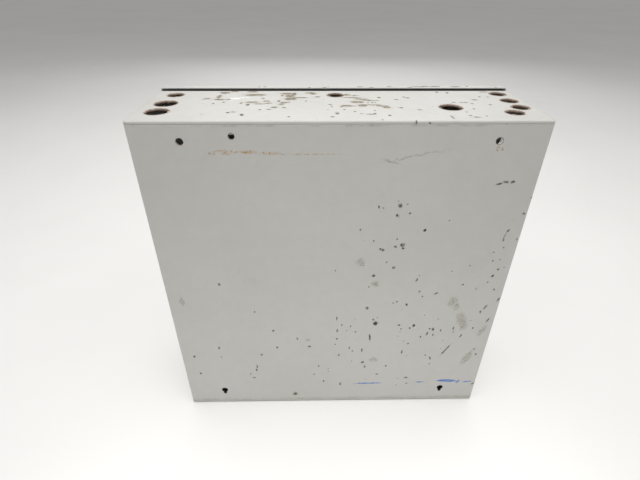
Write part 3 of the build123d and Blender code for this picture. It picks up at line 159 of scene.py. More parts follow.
TOP_CHIPS = (
    (117, -55, 0.8, 1.6, 0), (108, -60, 1.2, 1.2, 0), (84, -51, 1.4, 3.1, 0),
    (72, -74, 1.3, 1.1, 0), (54, -85, 1.1, 2.2, 0), (42, -92, 1.8, 4.1, 0),
    (56, -64, 1.1, 2.1, 0), (63, -35, 1.8, 0.9, 0), (71, -34, 1.2, 0.9, 0),
    (46, -60, 0.8, 1.2, 0), (30, -64, 0.8, 1.2, 0), (7, -51, 1.4, 1.2, 0), (6, -44, 1.1, 1.1, 0),
    (-3, -44, 1.2, 1.5, 0), (-5, -34, 1.0, 0.9, 0), (44, -12, 1.1, 1.3, 0),
    (98, -25, 1.3, 1.7, 0), (85, -18, 1.4, 2.7, -12), (-29, -58, 0.8, 1.2, 0),
    (-33, -58, 0.8, 1.6, 0), (-36, -58, 0.8, 1.2, 0), (-14, -28, 1.0, 1.1, 0),
    (-19, -21, 1.2, 0.9, 0), (-31, -21, 1.1, 1.4, 0), (-32, -31, 0.8, 1.1, 0),
    (-43, -16, 1.2, 1.7, 0), (-42, -77, 1.5, 1.7, 0), (-67, -79, 1.1, 1.3, 0),
    (-70, -76, 1.9, 1.3, 0), (-58, -69, 1.7, 1.3, 0), (-105, -99, 1.2, 1.9, 0),
    (-115, -96, 1.4, 1.9, 10), (-111, -59, 1.7, 1.0, 0), (-118, -58, 1.5, 1.0, 0),
    (-122, -58, 1.9, 1.0, 0), (-134, -68, 2.6, 1.3, -3), (-143, -80, 1.1, 1.3, 0),
    (-151, -79, 1.1, 1.3, 0), (-127, -54, 1.3, 1.2, 0), (-123, -36, 1.0, 1.1, 0),
    (-113, -26, 0.8, 1.1, 0), (-113, -15, 1.3, 1.0, 0), (-143, -50, 1.3, 1.2, 0),
    (-63, 0, 0.8, 1.2, 0), (-35, -3, 0.8, 0.9, 0),
)
# On the cover's upper lip, the same way.
LIP_CHIPS = (
    (80, -117, 1.2, 0.9, 0), (74, -117, 1.7, 0.9, 0), (27, -114, 1.2, 0.9, 0),
    (11, -114, 1.9, 1.0, 0), (7, -117, 1.2, 0.9, 0), (-27, -117, 3.0, 0.9, 0),
    (-39, -114, 2.4, 0.9, 0), (-58, -117, 2.2, 0.9, 0), (-80, -114, 2.4, 0.9, 0),
    (-89, -117, 6.1, 1.1, 4), (-98, -119, 3.6, 1.2, 0), (-108, -118, 5.0, 1.2, 0),
    (-129, -117, 5.0, 1.1, -3), (-142, -118, 1.2, 0.9, 0), (-172, -115, 1.2, 0.9, 0),
)


def hole_table():
    """Centres and radii of the conduit openings and of the back's holes, from the mounts."""
    top, back = [], []
    for mount in MOUNTS.values():
        x, y, z = mount["pos_m"]
        dims = mount["dims"]
        if mount["name"].startswith("conduit_opening"):
            top.append((x, y, dims["r_mm"] * MM))
        elif mount["kind"] == "bolt_pattern":
            half = dims["spacing_x_mm"] * MM / 2
            back.append((half, z, dims["hole_r_mm"] * MM))
            back.append((-half, z, dims["hole_r_mm"] * MM))
    return top, back


TOP_HOLES, BACK_HOLES = hole_table()
PLUMB_HOLE = (92.6 * MM, 170.0 * MM, 2.75 * MM)
KEYHOLE_TAIL_DROP = 5.2 * MM
KEYHOLE_TAIL_RADIUS = 1.9 * MM
BACK_HOLES.append(PLUMB_HOLE)
for hole_x, hole_z, _ in list(BACK_HOLES):
    if hole_z < 0:
        BACK_HOLES.append((hole_x, hole_z - KEYHOLE_TAIL_DROP, KEYHOLE_TAIL_RADIUS))
HOLES = {
    "top": [((-x, -y, 0), (1, 1, 0), radius) for x, y, radius in TOP_HOLES],
    "back": [((-x, 0, -z), (1, 0, 1), radius) for x, z, radius in BACK_HOLES],
}


# ---- Shader graph helper -----------------------------------------------------------------
class Graph:
    """Adds and links the nodes of one material; any input takes a number or a socket."""

    def __init__(self, name):
        self.material = bpy.data.materials.new(name)
        self.material.use_nodes = True
        self.nodes = self.material.node_tree.nodes
        self.links = self.material.node_tree.links
        self.nodes.clear()
        self.output = self.nodes.new("ShaderNodeOutputMaterial")
        self.surface = self.nodes.new("ShaderNodeBsdfPrincipled")
        self.links.new(self.surface.outputs["BSDF"], self.output.inputs["Surface"])
        self.place = self.nodes.new("ShaderNodeTexCoord").outputs["Object"]

    def put(self, socket, value):
        if isinstance(value, bpy.types.NodeSocket):
            self.links.new(value, socket)
        elif hasattr(socket.default_value, "__len__") and not hasattr(value, "__len__"):
            socket.default_value = (value,) * len(socket.default_value)
        elif hasattr(value, "__len__") and len(value) == 3 and socket.type == "RGBA":
            socket.default_value = (*value, 1.0)
        else:
            socket.default_value = value

    def math(self, operation, a, b=0.0, clamp=False):
        node = self.nodes.new("ShaderNodeMath")
        node.operation = operation
        node.use_clamp = clamp
        self.put(node.inputs[0], a)
        self.put(node.inputs[1], b)
        return node.outputs[0]

    def vector(self, operation, a, b=(0, 0, 0), c=(0, 0, 0)):
        node = self.nodes.new("ShaderNodeVectorMath")
        node.operation = operation
        self.put(node.inputs[0], a)
        self.put(node.inputs[1], b)
        if operation == "MULTIPLY_ADD":
            self.put(node.inputs[2], c)
        return node.outputs["Value" if operation in ("LENGTH", "DOT_PRODUCT") else "Vector"]

    def turn(self, vector, angle, axis):
        node = self.nodes.new("ShaderNodeVectorRotate")
        node.rotation_type = "AXIS_ANGLE"
        self.put(node.inputs["Vector"], vector)
        node.inputs["Axis"].default_value = axis
        node.inputs["Angle"].default_value = angle
        return node.outputs[0]

    def noise(self, scale, detail=3.0, roughness=0.55, vector=None, color=False):
        node = self.nodes.new("ShaderNodeTexNoise")
        self.put(node.inputs["Vector"], self.place if vector is None else vector)
        node.inputs["Scale"].default_value = scale
        node.inputs["Detail"].default_value = detail
        node.inputs["Roughness"].default_value = roughness
        return node.outputs["Color" if color else "Fac"]

    def cells(self, scale, vector=None):
        node = self.nodes.new("ShaderNodeTexVoronoi")
        self.put(node.inputs["Vector"], self.place if vector is None else vector)
        node.inputs["Scale"].default_value = scale
        return node.outputs["Distance"], node.outputs["Color"]

    def map(self, value, low, high, to_low=0.0, to_high=1.0):
        node = self.nodes.new("ShaderNodeMapRange")
        node.interpolation_type = "SMOOTHSTEP"
        self.put(node.inputs["Value"], value)
        self.put(node.inputs["From Min"], low)
        self.put(node.inputs["From Max"], high)
        self.put(node.inputs["To Min"], to_low)
        self.put(node.inputs["To Max"], to_high)
        return node.outputs["Result"]

    def mix(self, factor, a, b):
        node = self.nodes.new("ShaderNodeMix")
        node.data_type = "RGBA"
        self.put(node.inputs["Factor"], factor)
        self.put(node.inputs[6], a)
        self.put(node.inputs[7], b)
        return node.outputs[2]

    def most(self, *values):
        result = values[0]
        for value in values[1:]:
            result = self.math("MAXIMUM", result, value)
        return result

    def split(self, vector):
        node = self.nodes.new("ShaderNodeSeparateXYZ")
        self.put(node.inputs[0], vector)
        return node.outputs

    def bevel(self, radius):
        node = self.nodes.new("ShaderNodeBevel")
        node.samples = 6
        node.inputs["Radius"].default_value = radius
        return node.outputs[0]

    def bump(self, height, distance, strength=1.0, normal=None):
        node = self.nodes.new("ShaderNodeBump")
        self.put(node.inputs["Height"], height)
        node.inputs["Distance"].default_value = distance
        node.inputs["Strength"].default_value = strength
        if normal is not None:
            self.put(node.inputs["Normal"], normal)
        return node.outputs[0]

    def edges(self, radius):
        """1 along sharp edges, 0 on flat faces."""
        normal = self.nodes.new("ShaderNodeNewGeometry").outputs["Normal"]
        likeness = self.vector("DOT_PRODUCT", self.bevel(radius), normal)
        return self.map(likeness, 0.99, 0.86)

    def finish(self, **inputs):
        for name, value in inputs.items():
            self.put(self.surface.inputs[name.replace("_", " ")], value)
        return self.material


def wobble(graph, scale, amount):
    """The object's own coordinates pushed about by noise, so that marks are ragged."""
    push = graph.vector("SUBTRACT", graph.noise(scale, 4.0, 0.7, color=True), (0.5, 0.5, 0.5))
    return graph.vector("MULTIPLY_ADD", push, (amount, amount, amount), graph.place)


def reach_of(graph, place, table, face):
    """How far a point is from the nearest listed ellipse on one face; 1 is its rim."""
    nearest = None
    for a, b, half_a, half_b, degrees in table:
        reach_a, reach_b = 1 / (half_a * MM), 1 / (half_b * MM)
        if face == "back":
            center, axis = Vector((a * MM, 0, b * MM)), (0, -1, 0)
            scale = (reach_a, 1 / MARK_DEPTH, reach_b)
        else:
            center, axis = Vector((a * MM, b * MM, FACE_LEVEL[face])), (0, 0, 1)
            scale = (reach_a, reach_b, 1 / MARK_DEPTH)
        local = graph.vector("SUBTRACT", place, center)
        if degrees:
            # Seen from outside, the turn is anticlockwise.
            local = graph.turn(local, math.radians(degrees), axis)
        reach = graph.vector("LENGTH", graph.vector("MULTIPLY", local, scale))
        nearest = reach if nearest is None else graph.math("MINIMUM", nearest, reach)
    return nearest


def inside(graph, reach, grow=1.0, soft=0.2):
    """1 inside the ellipses grown by a factor, 0 outside, with a soft rim."""
    return graph.map(reach, grow * (1.0 + soft), grow * (1.0 - soft))


def marks(graph, place, table, face, grow=1.0, soft=0.2):
    return inside(graph, reach_of(graph, place, table, face), grow, soft)


def holes(graph, place, table, lip):
    """1 on a hole's wall and on a thin ring round its mouth."""
    nearest = None
    for center, flat, radius in table:
        local = graph.vector("MULTIPLY_ADD", place, flat, center)
        reach = graph.math("SUBTRACT", graph.vector("LENGTH", local), radius)
        nearest = reach if nearest is None else graph.math("MINIMUM", nearest, reach)
    return graph.map(nearest, lip, lip * 0.4)


# ---- Materials ---------------------------------------------------------------------------
PAINT_GRAY = (0.535, 0.526, 0.500)
PAINT_DARK = (0.500, 0.490, 0.462)
PRIMER = (0.075, 0.068, 0.055)
OLIVE = (0.215, 0.185, 0.125)
OLIVE_PALE = (0.270, 0.225, 0.145)
PAINT_BRIGHT = (0.82, 0.81, 0.79)
RUST = (0.16, 0.075, 0.035)
RUST_DARK = (0.030, 0.020, 0.016)
RUST_PALE = (0.30, 0.19, 0.13)
RUST_BRIGHT = (0.37, 0.215, 0.075)
DIRT = (0.25, 0.20, 0.14)
BLUE_SCUFF = (0.018, 0.14, 0.48)
DUST = (0.30, 0.28, 0.25)
INK = (0.06, 0.06, 0.07)
SCRATCH = (0.66, 0.65, 0.62)
PRIMER_PALE = (0.27, 0.24, 0.18)
SPECK_PITCHES = (95.0, 150.0)    # cells per metre of the two sizes of chance chips


def chance_chips(g, ragged, marked, across, upward):
    """Small chips that are scattered by chance, thicker in some places than in others."""
    crowd = g.map(g.noise(9.0, 2.0), 0.40, 0.72, 0.985, 0.925)
    if marked == "back":
        toward_side = g.map(across, 40 * MM, -30 * MM, 0.0, 0.13)
        below = g.map(upward, 125 * MM, 70 * MM)
        crowd = g.math("SUBTRACT", crowd, g.math("MULTIPLY", toward_side, below))
        crowd = g.math("ADD", crowd, g.map(upward, 70 * MM, 135 * MM, 0.0, 0.06))
        crowd = g.math("ADD", crowd, g.map(across, 0.0, 60 * MM, 0.0, 0.06))
    if marked == "top":
        crowd = g.math("SUBTRACT", crowd, g.map(across, 120 * MM, -60 * MM, 0.02, 0.10))
    spots = []
    for pitch in SPECK_PITCHES:
        distance, cell = g.cells(pitch, ragged)
        chance = g.split(cell)
        size = g.map(chance[1], 0.0, 1.0, 0.04, 0.12)
        spot = g.map(g.math("DIVIDE", distance, size), 1.15, 0.65)
        spots.append(g.math("MULTIPLY", spot, g.math("GREATER_THAN", chance[0], crowd)))
    return g.most(*spots)


def back_marks(g, color, ragged, grit, upward):
    """The back's smears, rust, blue rubs, dirt and listed chips: colour, chips, dull areas."""
    area = marks(g, wobble(g, 170.0, 9.0 * MM), BACK_SMEARS, "back", 1.4, 0.6)
    slanted = g.turn(g.place, math.radians(28), (0, 1, 0))
    slanted = g.vector("MULTIPLY", slanted, (1.0, 1.0, 0.55))
    rubbed = g.noise(420.0, 5.0, 0.8, vector=slanted)
    smears = g.math("MULTIPLY", area, g.map(rubbed, 0.40, 0.64, 0.14, 0.72))
    color = g.mix(smears, color, OLIVE)
    dots = g.math("MULTIPLY", area, g.map(grit, 0.57, 0.62, 0.0, 0.85))
    rust = marks(g, wobble(g, 600.0, 2.0 * MM), BACK_RUST, "back", 1.3, 0.4)
    rust = g.math("MULTIPLY", rust, g.map(grit, 0.49, 0.56, 0.10, 1.0))
    color = g.mix(rust, color, RUST_BRIGHT)
    blue = marks(g, wobble(g, 420.0, 2.4 * MM), BACK_BLUE, "back", 1.15)
    level = g.vector("MULTIPLY", g.place, (0.3, 1.0, 2.0))
    streaky = g.map(g.noise(420.0, 4.0, 0.75, vector=level), 0.42, 0.52, 0.30, 1.0)
    color = g.mix(g.math("MULTIPLY", blue, streaky), color, BLUE_SCUFF)
    # Dirt along the foot, and a dark line where the end wall's lip meets the back.
    low = g.map(upward, -HALF_H + 9 * MM, -HALF_H, 0.0, 0.7)
    low = g.most(low, g.map(upward, -HALF_H + 3 * MM, -HALF_H))
    foot = g.math("MULTIPLY", low, g.map(g.noise(60.0, 6.0, 0.8), 0.34, 0.62))
    color = g.mix(foot, color, DIRT)
    off_seam = g.math("ABSOLUTE", g.math("SUBTRACT", upward, HALF_H - 4 * MM))
    seam = g.map(off_seam, 1.6 * MM, 0.0)
    seam = g.math("MULTIPLY", seam, g.map(g.noise(40.0, 5.0, 0.75), 0.45, 0.70, 0.0, 0.5))
    color = g.mix(seam, color, OLIVE)
    reach = reach_of(g, ragged, BACK_CHIPS, "back")
    halo = g.math("MULTIPLY", inside(g, reach, 1.45, 0.25), g.map(grit, 0.44, 0.60, 0.0, 0.55))
    color = g.mix(halo, color, OLIVE)
    faded = g.map(g.noise(140.0, 2.0), 0.38, 0.50, 0.80, 1.0)
    chips = g.most(g.math("MULTIPLY", inside(g, reach, 0.95, 0.15), faded), dots)
    return color, chips, g.most(smears, rust)


def top_marks(g, color, ragged, grit):
    """The upper end wall's scuffs and listed chips: colour, chips, dull areas."""
    wide = wobble(g, 260.0, 3.6 * MM)
    scuffs = marks(g, wide, TOP_SCUFFS, "top", 1.45, 0.25)
    bare = marks(g, wide, TOP_BRIGHT, "top", 1.2, 0.4)
    color = g.mix(g.math("MULTIPLY", bare, g.map(grit, 0.40, 0.52)), color, PAINT_BRIGHT)
    scuffs = g.math("MULTIPLY", scuffs, g.map(grit, 0.40, 0.52, 0.25, 1.0))
    color = g.mix(scuffs, color, OLIVE_PALE)
    stretched = g.vector("MULTIPLY", g.place, (0.5, 1.6, 1.0))
    lines = g.noise(120.0, 6.0, 0.85, vector=stretched)
    torn = g.map(g.math("ABSOLUTE", g.math("SUBTRACT", lines, 0.5)), 0.05, 0.02)
    core = g.math("MULTIPLY", g.math("MULTIPLY", torn, scuffs), 0.8)
    around = marks(g, wobble(g, 90.0, 14.0 * MM), TOP_SCUFFS, "top", 2.6, 0.5)
    cloudy = g.map(g.noise(150.0, 6.0, 0.85), 0.50, 0.60, 0.03, 0.45)
    color = g.mix(g.math("MULTIPLY", around, cloudy), color, OLIVE_PALE)
    reach = reach_of(g, ragged, TOP_CHIPS, "top")
    halo = inside(g, reach, 1.6, 0.4)
    color = g.mix(g.math("MULTIPLY", halo, 0.4), color, OLIVE_PALE)
    return color, g.most(core, inside(g, reach, 1.0, 0.25)), scuffs


def paint(name, marked="", wear=1.0):
    """Gray baked enamel on sheet steel, with its age; `marked` picks the recorded marks."""
    g = Graph(name)
    ragged = wobble(g, 520.0, 3.0 * MM)
    across, _, upward = g.split(g.place)[:3]
    broad = g.math("MULTIPLY", g.noise(6.0, 3.0, 0.5), 0.6)
    fine = g.math("MULTIPLY", g.noise(70.0, 5.0, 0.65), 0.4)
    color = g.mix(g.map(g.math("ADD", broad, fine), 0.35, 0.68), PAINT_DARK, PAINT_GRAY)
    haze = g.math("MULTIPLY", g.map(g.noise(18.0, 6.0, 0.75), 0.56, 0.8), 0.16 * wear)
    color = g.mix(haze, color, DIRT)
    dull = haze
    spots = chance_chips(g, ragged, marked, across, upward)
    streaks = g.noise(26.0, 6.0, 0.8, vector=g.vector("MULTIPLY", g.place, (9.0, 9.0, 1.2)))
    scratch = g.math("MULTIPLY", g.map(streaks, 0.735, 0.76), 0.25 * wear)
    color = g.mix(scratch, color, SCRATCH)
    rubbed_off = g.map(g.noise(170.0, 5.0, 0.8), 0.60, 0.70)
    worn_edge = g.math("MULTIPLY", g.edges(0.7 * MM), rubbed_off)
    chips = g.most(spots, g.math("MULTIPLY", worn_edge, wear, clamp=True))
    grit = g.noise(420.0, 5.0, 0.8)
    if marked == "back":
        color, listed, flat = back_marks(g, color, ragged, grit, upward)
        chips, dull = g.most(chips, listed), g.most(dull, flat)
    elif marked == "top":
        color, listed, flat = top_marks(g, color, ragged, grit)
        chips, dull = g.most(chips, listed), g.most(dull, flat)
    elif marked == "lip":
        listed = marks(g, wobble(g, 420.0, 2.5 * MM), LIP_CHIPS, "lip", 1.2, 0.3)
        chips = g.most(chips, listed)
    # In a chip, primer shows between spots of dark rust.
    flake = g.map(g.noise(800.0, 4.0, 0.8), 0.42, 0.56)
    primer = g.mix(g.map(g.noise(90.0, 2.0), 0.40, 0.60), PRIMER, PRIMER_PALE)
    color = g.mix(chips, color, g.mix(flake, RUST_DARK, primer))
    if marked in HOLES:
        raw = holes(g, wobble(g, 900.0, 0.9 * MM), HOLES[marked], 0.3 * MM)
        rim = g.mix(g.map(g.noise(600.0, 4.0, 0.7), 0.30, 0.55), RUST_PALE, RUST_DARK)
        color = g.mix(raw, color, rim)
        chips = g.most(chips, raw)
    normal = g.bump(g.noise(5.0, 2.0, 0.5), 1.2 * MM, 0.35, g.bevel(0.35 * MM))
    normal = g.bump(g.noise(1100.0, 2.0, 0.5), 0.06 * MM, 0.35, normal)
    normal = g.bump(g.math("MULTIPLY", chips, -1.0), 0.15 * MM, 0.8, normal)
    gloss = g.map(g.noise(22.0, 5.0, 0.7), 0.3, 0.7, 0.36, 0.50)
    matt = g.math("MULTIPLY", g.most(chips, dull), 0.35)
    roughness = g.math("ADD", gloss, matt, clamp=True)
    return g.finish(
        Base_Color=color, Roughness=roughness, Normal=normal, Specular_IOR_Level=0.42
    )


def bare_metal(name, color, dark, roughness=0.38, rust=0.3, brushed=(1, 1, 1), shine=1.0):
    """Plated, rolled or drawn metal with stains and a directional grain."""
    g = Graph(name)
    stretched = g.vector("MULTIPLY", g.place, brushed)
    lines = g.noise(240.0, 6.0, 0.75, vector=stretched)
    stain = g.map(g.noise(70.0, 6.0, 0.7), 0.35, 0.75)
    tone = g.mix(stain, color, dark)
    tone = g.mix(g.math("MULTIPLY", g.map(lines, 0.3, 0.7), 0.35), tone, dark)
    rusty = g.math("MULTIPLY", g.map(g.noise(190.0, 7.0, 0.8), 0.58, 0.68), rust)
    tone = g.mix(rusty, tone, RUST)
    edge = g.math("MULTIPLY", g.edges(0.35 * MM), 0.35)
    tone = g.mix(edge, tone, tuple(min(1.0, 1.25 * c) for c in color))
    grain = g.map(lines, 0.3, 0.7, roughness - 0.1, roughness + 0.12)
    rough = g.math("ADD", grain, g.math("MULTIPLY", rusty, 0.4), clamp=True)
    normal = g.bump(lines, 0.05 * MM, 0.5, g.bevel(0.3 * MM))
    normal = g.bump(rusty, 0.08 * MM, 0.6, normal)
    metallic = g.math("SUBTRACT", shine, g.math("MULTIPLY", rusty, 0.9 * shine), clamp=True)
    return g.finish(Base_Color=tone, Roughness=rough, Metallic=metallic, Normal=normal)


def moulded(name, color, worn, roughness=0.42, grain=0.04):
    """Moulded plastic: fine texture, handling shine, dust and pale edges."""
    g = Graph(name)
    speck = g.noise(1500.0, 3.0, 0.6)
    cloud = g.noise(28.0, 5.0, 0.65)
    tone = g.mix(g.map(cloud, 0.35, 0.7, 0.0, 0.5), color, worn)
    dust = g.math("MULTIPLY", g.map(g.noise(120.0, 6.0, 0.75), 0.50, 0.72), 0.16)
    tone = g.mix(dust, tone, DUST)
    tone = g.mix(g.math("MULTIPLY", g.edges(0.4 * MM), 0.35), tone, worn)
    sheen = g.map(cloud, 0.3, 0.7, roughness - 0.06, roughness + 0.1)
    rough = g.math("ADD", sheen, g.math("MULTIPLY", dust, 1.2), clamp=True)
    normal = g.bump(speck, grain * MM, 0.6, g.bevel(0.4 * MM))
    return g.finish(Base_Color=tone, Roughness=rough, Normal=normal, Specular_IOR_Level=0.4)


def foam_as_gap_shade(name):
    """Closed-cell foam strip, coloured near-black navy as painted shade of the gap between the box
    and the cover.
    """
    g = Graph(name)
    distance, _ = g.cells(1300.0)
    cloud = g.map(g.noise(90.0, 5.0, 0.7), 0.3, 0.7)
    # The near-black navy tone is painted shade: it makes the strip read as the dark, shaded gap
    # between box and cover.
    tone = g.mix(cloud, (0.003, 0.004, 0.012), (0.008, 0.010, 0.024))
    normal = g.bump(distance, 0.25 * MM, 0.8)
    return g.finish(Base_Color=tone, Roughness=0.92, Normal=normal)


def ruled_card(name):
    """The circuit directory: aged card ruled into rows, with nothing written on it."""
    g = Graph(name)
    low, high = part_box("directory_card")
    x, _, z = g.split(g.place)
    row = 9.0 * MM
    phase = g.math("FRACT", g.math("DIVIDE", g.math("SUBTRACT", z, low.z), row))
    rule = g.map(g.math("ABSOLUTE", g.math("SUBTRACT", phase, 0.5)), 0.035, 0.02)
    middle = (low.x + high.x) / 2
    number, margin = 12 * MM, 3 * MM
    columns = (middle, low.x + number, middle + number, low.x + margin, high.x - margin)
    line = rule
    for column in columns:
        away = g.math("ABSOLUTE", g.math("SUBTRACT", x, column))
        line = g.most(line, g.map(away, 0.4 * MM, 0.2 * MM))
    fibers = g.noise(420.0, 6.0, 0.75)
    aged = g.map(g.noise(14.0, 5.0, 0.7), 0.35, 0.75)
    paper = g.mix(aged, (0.74, 0.71, 0.62), (0.60, 0.55, 0.43))
    tone = g.mix(g.math("MULTIPLY", line, 0.75), paper, INK)
    tone = g.mix(g.math("MULTIPLY", g.map(fibers, 0.5, 0.75), 0.25), tone, (0.45, 0.40, 0.30))
    normal = g.bump(fibers, 0.05 * MM, 0.6)
    return g.finish(Base_Color=tone, Roughness=0.85, Normal=normal)


FINISHES = {
    "box_paint": paint("painted_box"),
    "cover_paint": paint("painted_cover", wear=0.8),
    "zinc_steel": bare_metal("zinc_steel", (0.60, 0.59, 0.55), (0.36, 0.35, 0.32), rust=0.35),
    "latch_plastic": moulded("latch_plastic", (0.022, 0.022, 0.024), (0.070, 0.068, 0.064)),
    # The gasket's near-black navy foam tone is painted shade of the gap between box and cover.
    "gasket_foam": foam_as_gap_shade("gasket_foam"),
    "card": ruled_card("directory_card_paper"),
    "insulator_plastic": moulded(
        "insulator_plastic", (0.035, 0.035, 0.038), (0.080, 0.078, 0.074), 0.5
    ),
    "bus_metal": bare_metal(
        "tinned_aluminium", (0.72, 0.72, 0.71), (0.50, 0.50, 0.49), 0.34, 0.0, (6, 6, 0.6)
    ),
    "copper_clip": bare_metal("copper_clip", (0.70, 0.36, 0.20), (0.35, 0.17, 0.09), 0.32, 0.0),
    "green_screw": moulded("green_screw_enamel", (0.02, 0.16, 0.06), (0.10, 0.30, 0.16), 0.3),
    "breaker_case": moulded("breaker_case", (0.016, 0.016, 0.018), (0.055, 0.054, 0.052)),
    "toggle_plastic": moulded("toggle_plastic", (0.030, 0.030, 0.032), (0.095, 0.092, 0.088), 0.38),
}
RUSTY_EDGE = bare_metal("raw_edge", (0.62, 0.50, 0.42), (0.16, 0.10, 0.07), 0.6, 0.5, shine=0.1)
BRIGHT_EDGE = bare_metal(
    "bright_edge", (0.92, 0.91, 0.89), (0.62, 0.60, 0.56), 0.3, 0.1, shine=0.25
)
MARKED_NODES = {
    "enclosure_wrap": ("painted_wrap", "back"),
    "top_end_wall": ("painted_top_wall", "top"),
    "cover_trim": ("painted_trim", "lip"),
}

for row in frame["record"]["subparts"]:
    node = frame["nodes"][row["node"]]
    finish = FINISHES[row["material_slot"]]
    if row["node"] in MARKED_NODES:
        finish = paint(*MARKED_NODES[row["node"]])
    if not node.material_slots:
        node.data.materials.append(finish)
    for slot in node.material_slots:
        slot.material = finish


# ---- Raw edges of the punched openings ---------------------------------------------------
TIE_HALF_WIDTH = 1.1 * MM
COLLAR_SKIN = 0.02 * MM          # how far a collar stands off its hole's wall


def ring_mesh(center, radius, low, high, depth, ragged, seed, axis="z"):
    """A thin ragged collar lining a hole, with the stubs of its two broken ties."""
    mesh = bmesh.new()
    steps = 96
    loops = []
    tie_at = (seed * 1.7) % math.pi
    for level, height in enumerate((low, (low + high) / 2, high)):
        for inner in (True, False):
            loop = []
            for step in range(steps):
                angle = 2 * math.pi * step / steps
                around = Vector((math.cos(angle), math.sin(angle), 0))
                rough = noise.noise(3 * around + Vector((0, 0, seed + level)))
                grain = noise.noise(14 * around + Vector((0, 0, seed * 3)))
                reach = depth * (0.55 + 0.45 * rough + 0.3 * grain)
                for tie in (tie_at, tie_at + math.pi):
                    gap = abs((angle - tie + math.pi) % (2 * math.pi) - math.pi)
                    reach += ragged * math.exp(-((gap * radius / TIE_HALF_WIDTH) ** 2))
                r = radius - (max(reach, 0.1 * depth) if inner else COLLAR_SKIN)
                a, b = r * math.cos(angle), r * math.sin(angle)
                if axis == "z":
                    loop.append(mesh.verts.new((center[0] + a, center[1] + b, height)))
                else:
                    loop.append(mesh.verts.new((center[0] + a, height, center[1] + b)))
            loops.append(loop)
    order = [loops[0], loops[2], loops[4], loops[5], loops[3], loops[1]]
    for first, second in zip(order, order[1:] + order[:1]):
        for step in range(steps):
            after = (step + 1) % steps
            mesh.faces.new((first[step], first[after], second[after], second[step]))
    bmesh.ops.recalc_face_normals(mesh, faces=mesh.faces)
    return mesh


def add_piece(name, mesh, material, body="enclosure", smooth=True):
    data = bpy.data.meshes.new(name)
    mesh.to_mesh(data)
    mesh.free()
    data.materials.append(material)
    for polygon in data.polygons:
        polygon.use_smooth = smooth
    piece = bpy.data.objects.new(name, data)
    bpy.context.scene.collection.objects.link(piece)
    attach(piece, body)
    return piece


def joined(meshes):
    """One bmesh that holds them all."""
    whole = bmesh.new()
    for mesh in meshes:
        data = bpy.data.meshes.new("part")
        mesh.to_mesh(data)
        mesh.free()
        whole.from_mesh(data)
        bpy.data.meshes.remove(data)
    return whole


BURR_FOOT = HALF_H - SHEET - 1.0 * MM
BURR_CREST = HALF_H + 0.2 * MM
collars = [
    ring_mesh((x, y), radius, BURR_FOOT, BURR_CREST, 0.7 * MM, 1.6 * MM, n)
    for n, (x, y, radius) in enumerate(TOP_HOLES)
]
add_piece("punched_edges", joined(collars), RUSTY_EDGE)
FIRST_BACK_SEED = 20
collars = [
    ring_mesh((x, z), radius, -SHEET, -0.05 * MM, 0.15 * MM, 0.25 * MM, FIRST_BACK_SEED + n, "y")
    for n, (x, z, radius) in enumerate(BACK_HOLES[:2] + [PLUMB_HOLE])
]
add_piece("back_hole_edges", joined(collars), RUSTY_EDGE)


FLAP_START, FLAP_SWEEP = -250, 170   # degrees round the hole


def torn_flap(center, radius):
    """A curled tongue of bright sheet that the punch left along one side of a hole."""
    mesh = bmesh.new()
    across, along, thick = 7, 22, 0.25 * MM
    sheets = []
    for inset in (0.0, thick):
        rows = []
        for step in range(along + 1):
            share = step / along
            angle = math.radians(FLAP_START + FLAP_SWEEP * share)
            width = radius * (0.06 + 0.58 * max(0.0, math.sin(math.pi * share)) ** 0.7)
            row = []
            for column in range(across + 1):
                fall = column / across
                rough = 0.12 * MM * noise.noise(Vector((9 * share, 3 * fall, 1.7)))
                r = radius - 0.05 * MM - inset - width * fall
                depth = -0.25 * MM - inset - (1.5 * fall ** 1.6) * MM + rough
                row.append(mesh.verts.new((
                    center[0] + r * math.cos(angle), depth, center[1] + r * math.sin(angle)
                )))
            rows.append(row)
        sheets.append(rows)
    for rows in sheets:
        for first, second in zip(rows, rows[1:]):
            for column in range(across):
                after = column + 1
                mesh.faces.new((first[column], first[after], second[after], second[column]))
    # The flap's four sides, between its outer and inner sheets.
    outer, inner = [
        [
            *rows[0],
            *(row[-1] for row in rows[1:]),
            *rows[-1][-2::-1],
            *(row[0] for row in rows[-2:0:-1]),
        ]
        for rows in sheets
    ]
    for step in range(len(outer)):
        after = (step + 1) % len(outer)
        mesh.faces.new((outer[step], outer[after], inner[after], inner[step]))
    bmesh.ops.recalc_face_normals(mesh, faces=mesh.faces)
    return mesh


far_side = min(BACK_HOLES[:2], key=lambda hole: hole[0])
add_piece("torn_flap", torn_flap(far_side[:2], far_side[2]), BRIGHT_EDGE)


# ---- Latch spring ------------------------------------------------------------------------
SPRING_WIRE = 0.25 * MM
SPRING_TURNS = 8


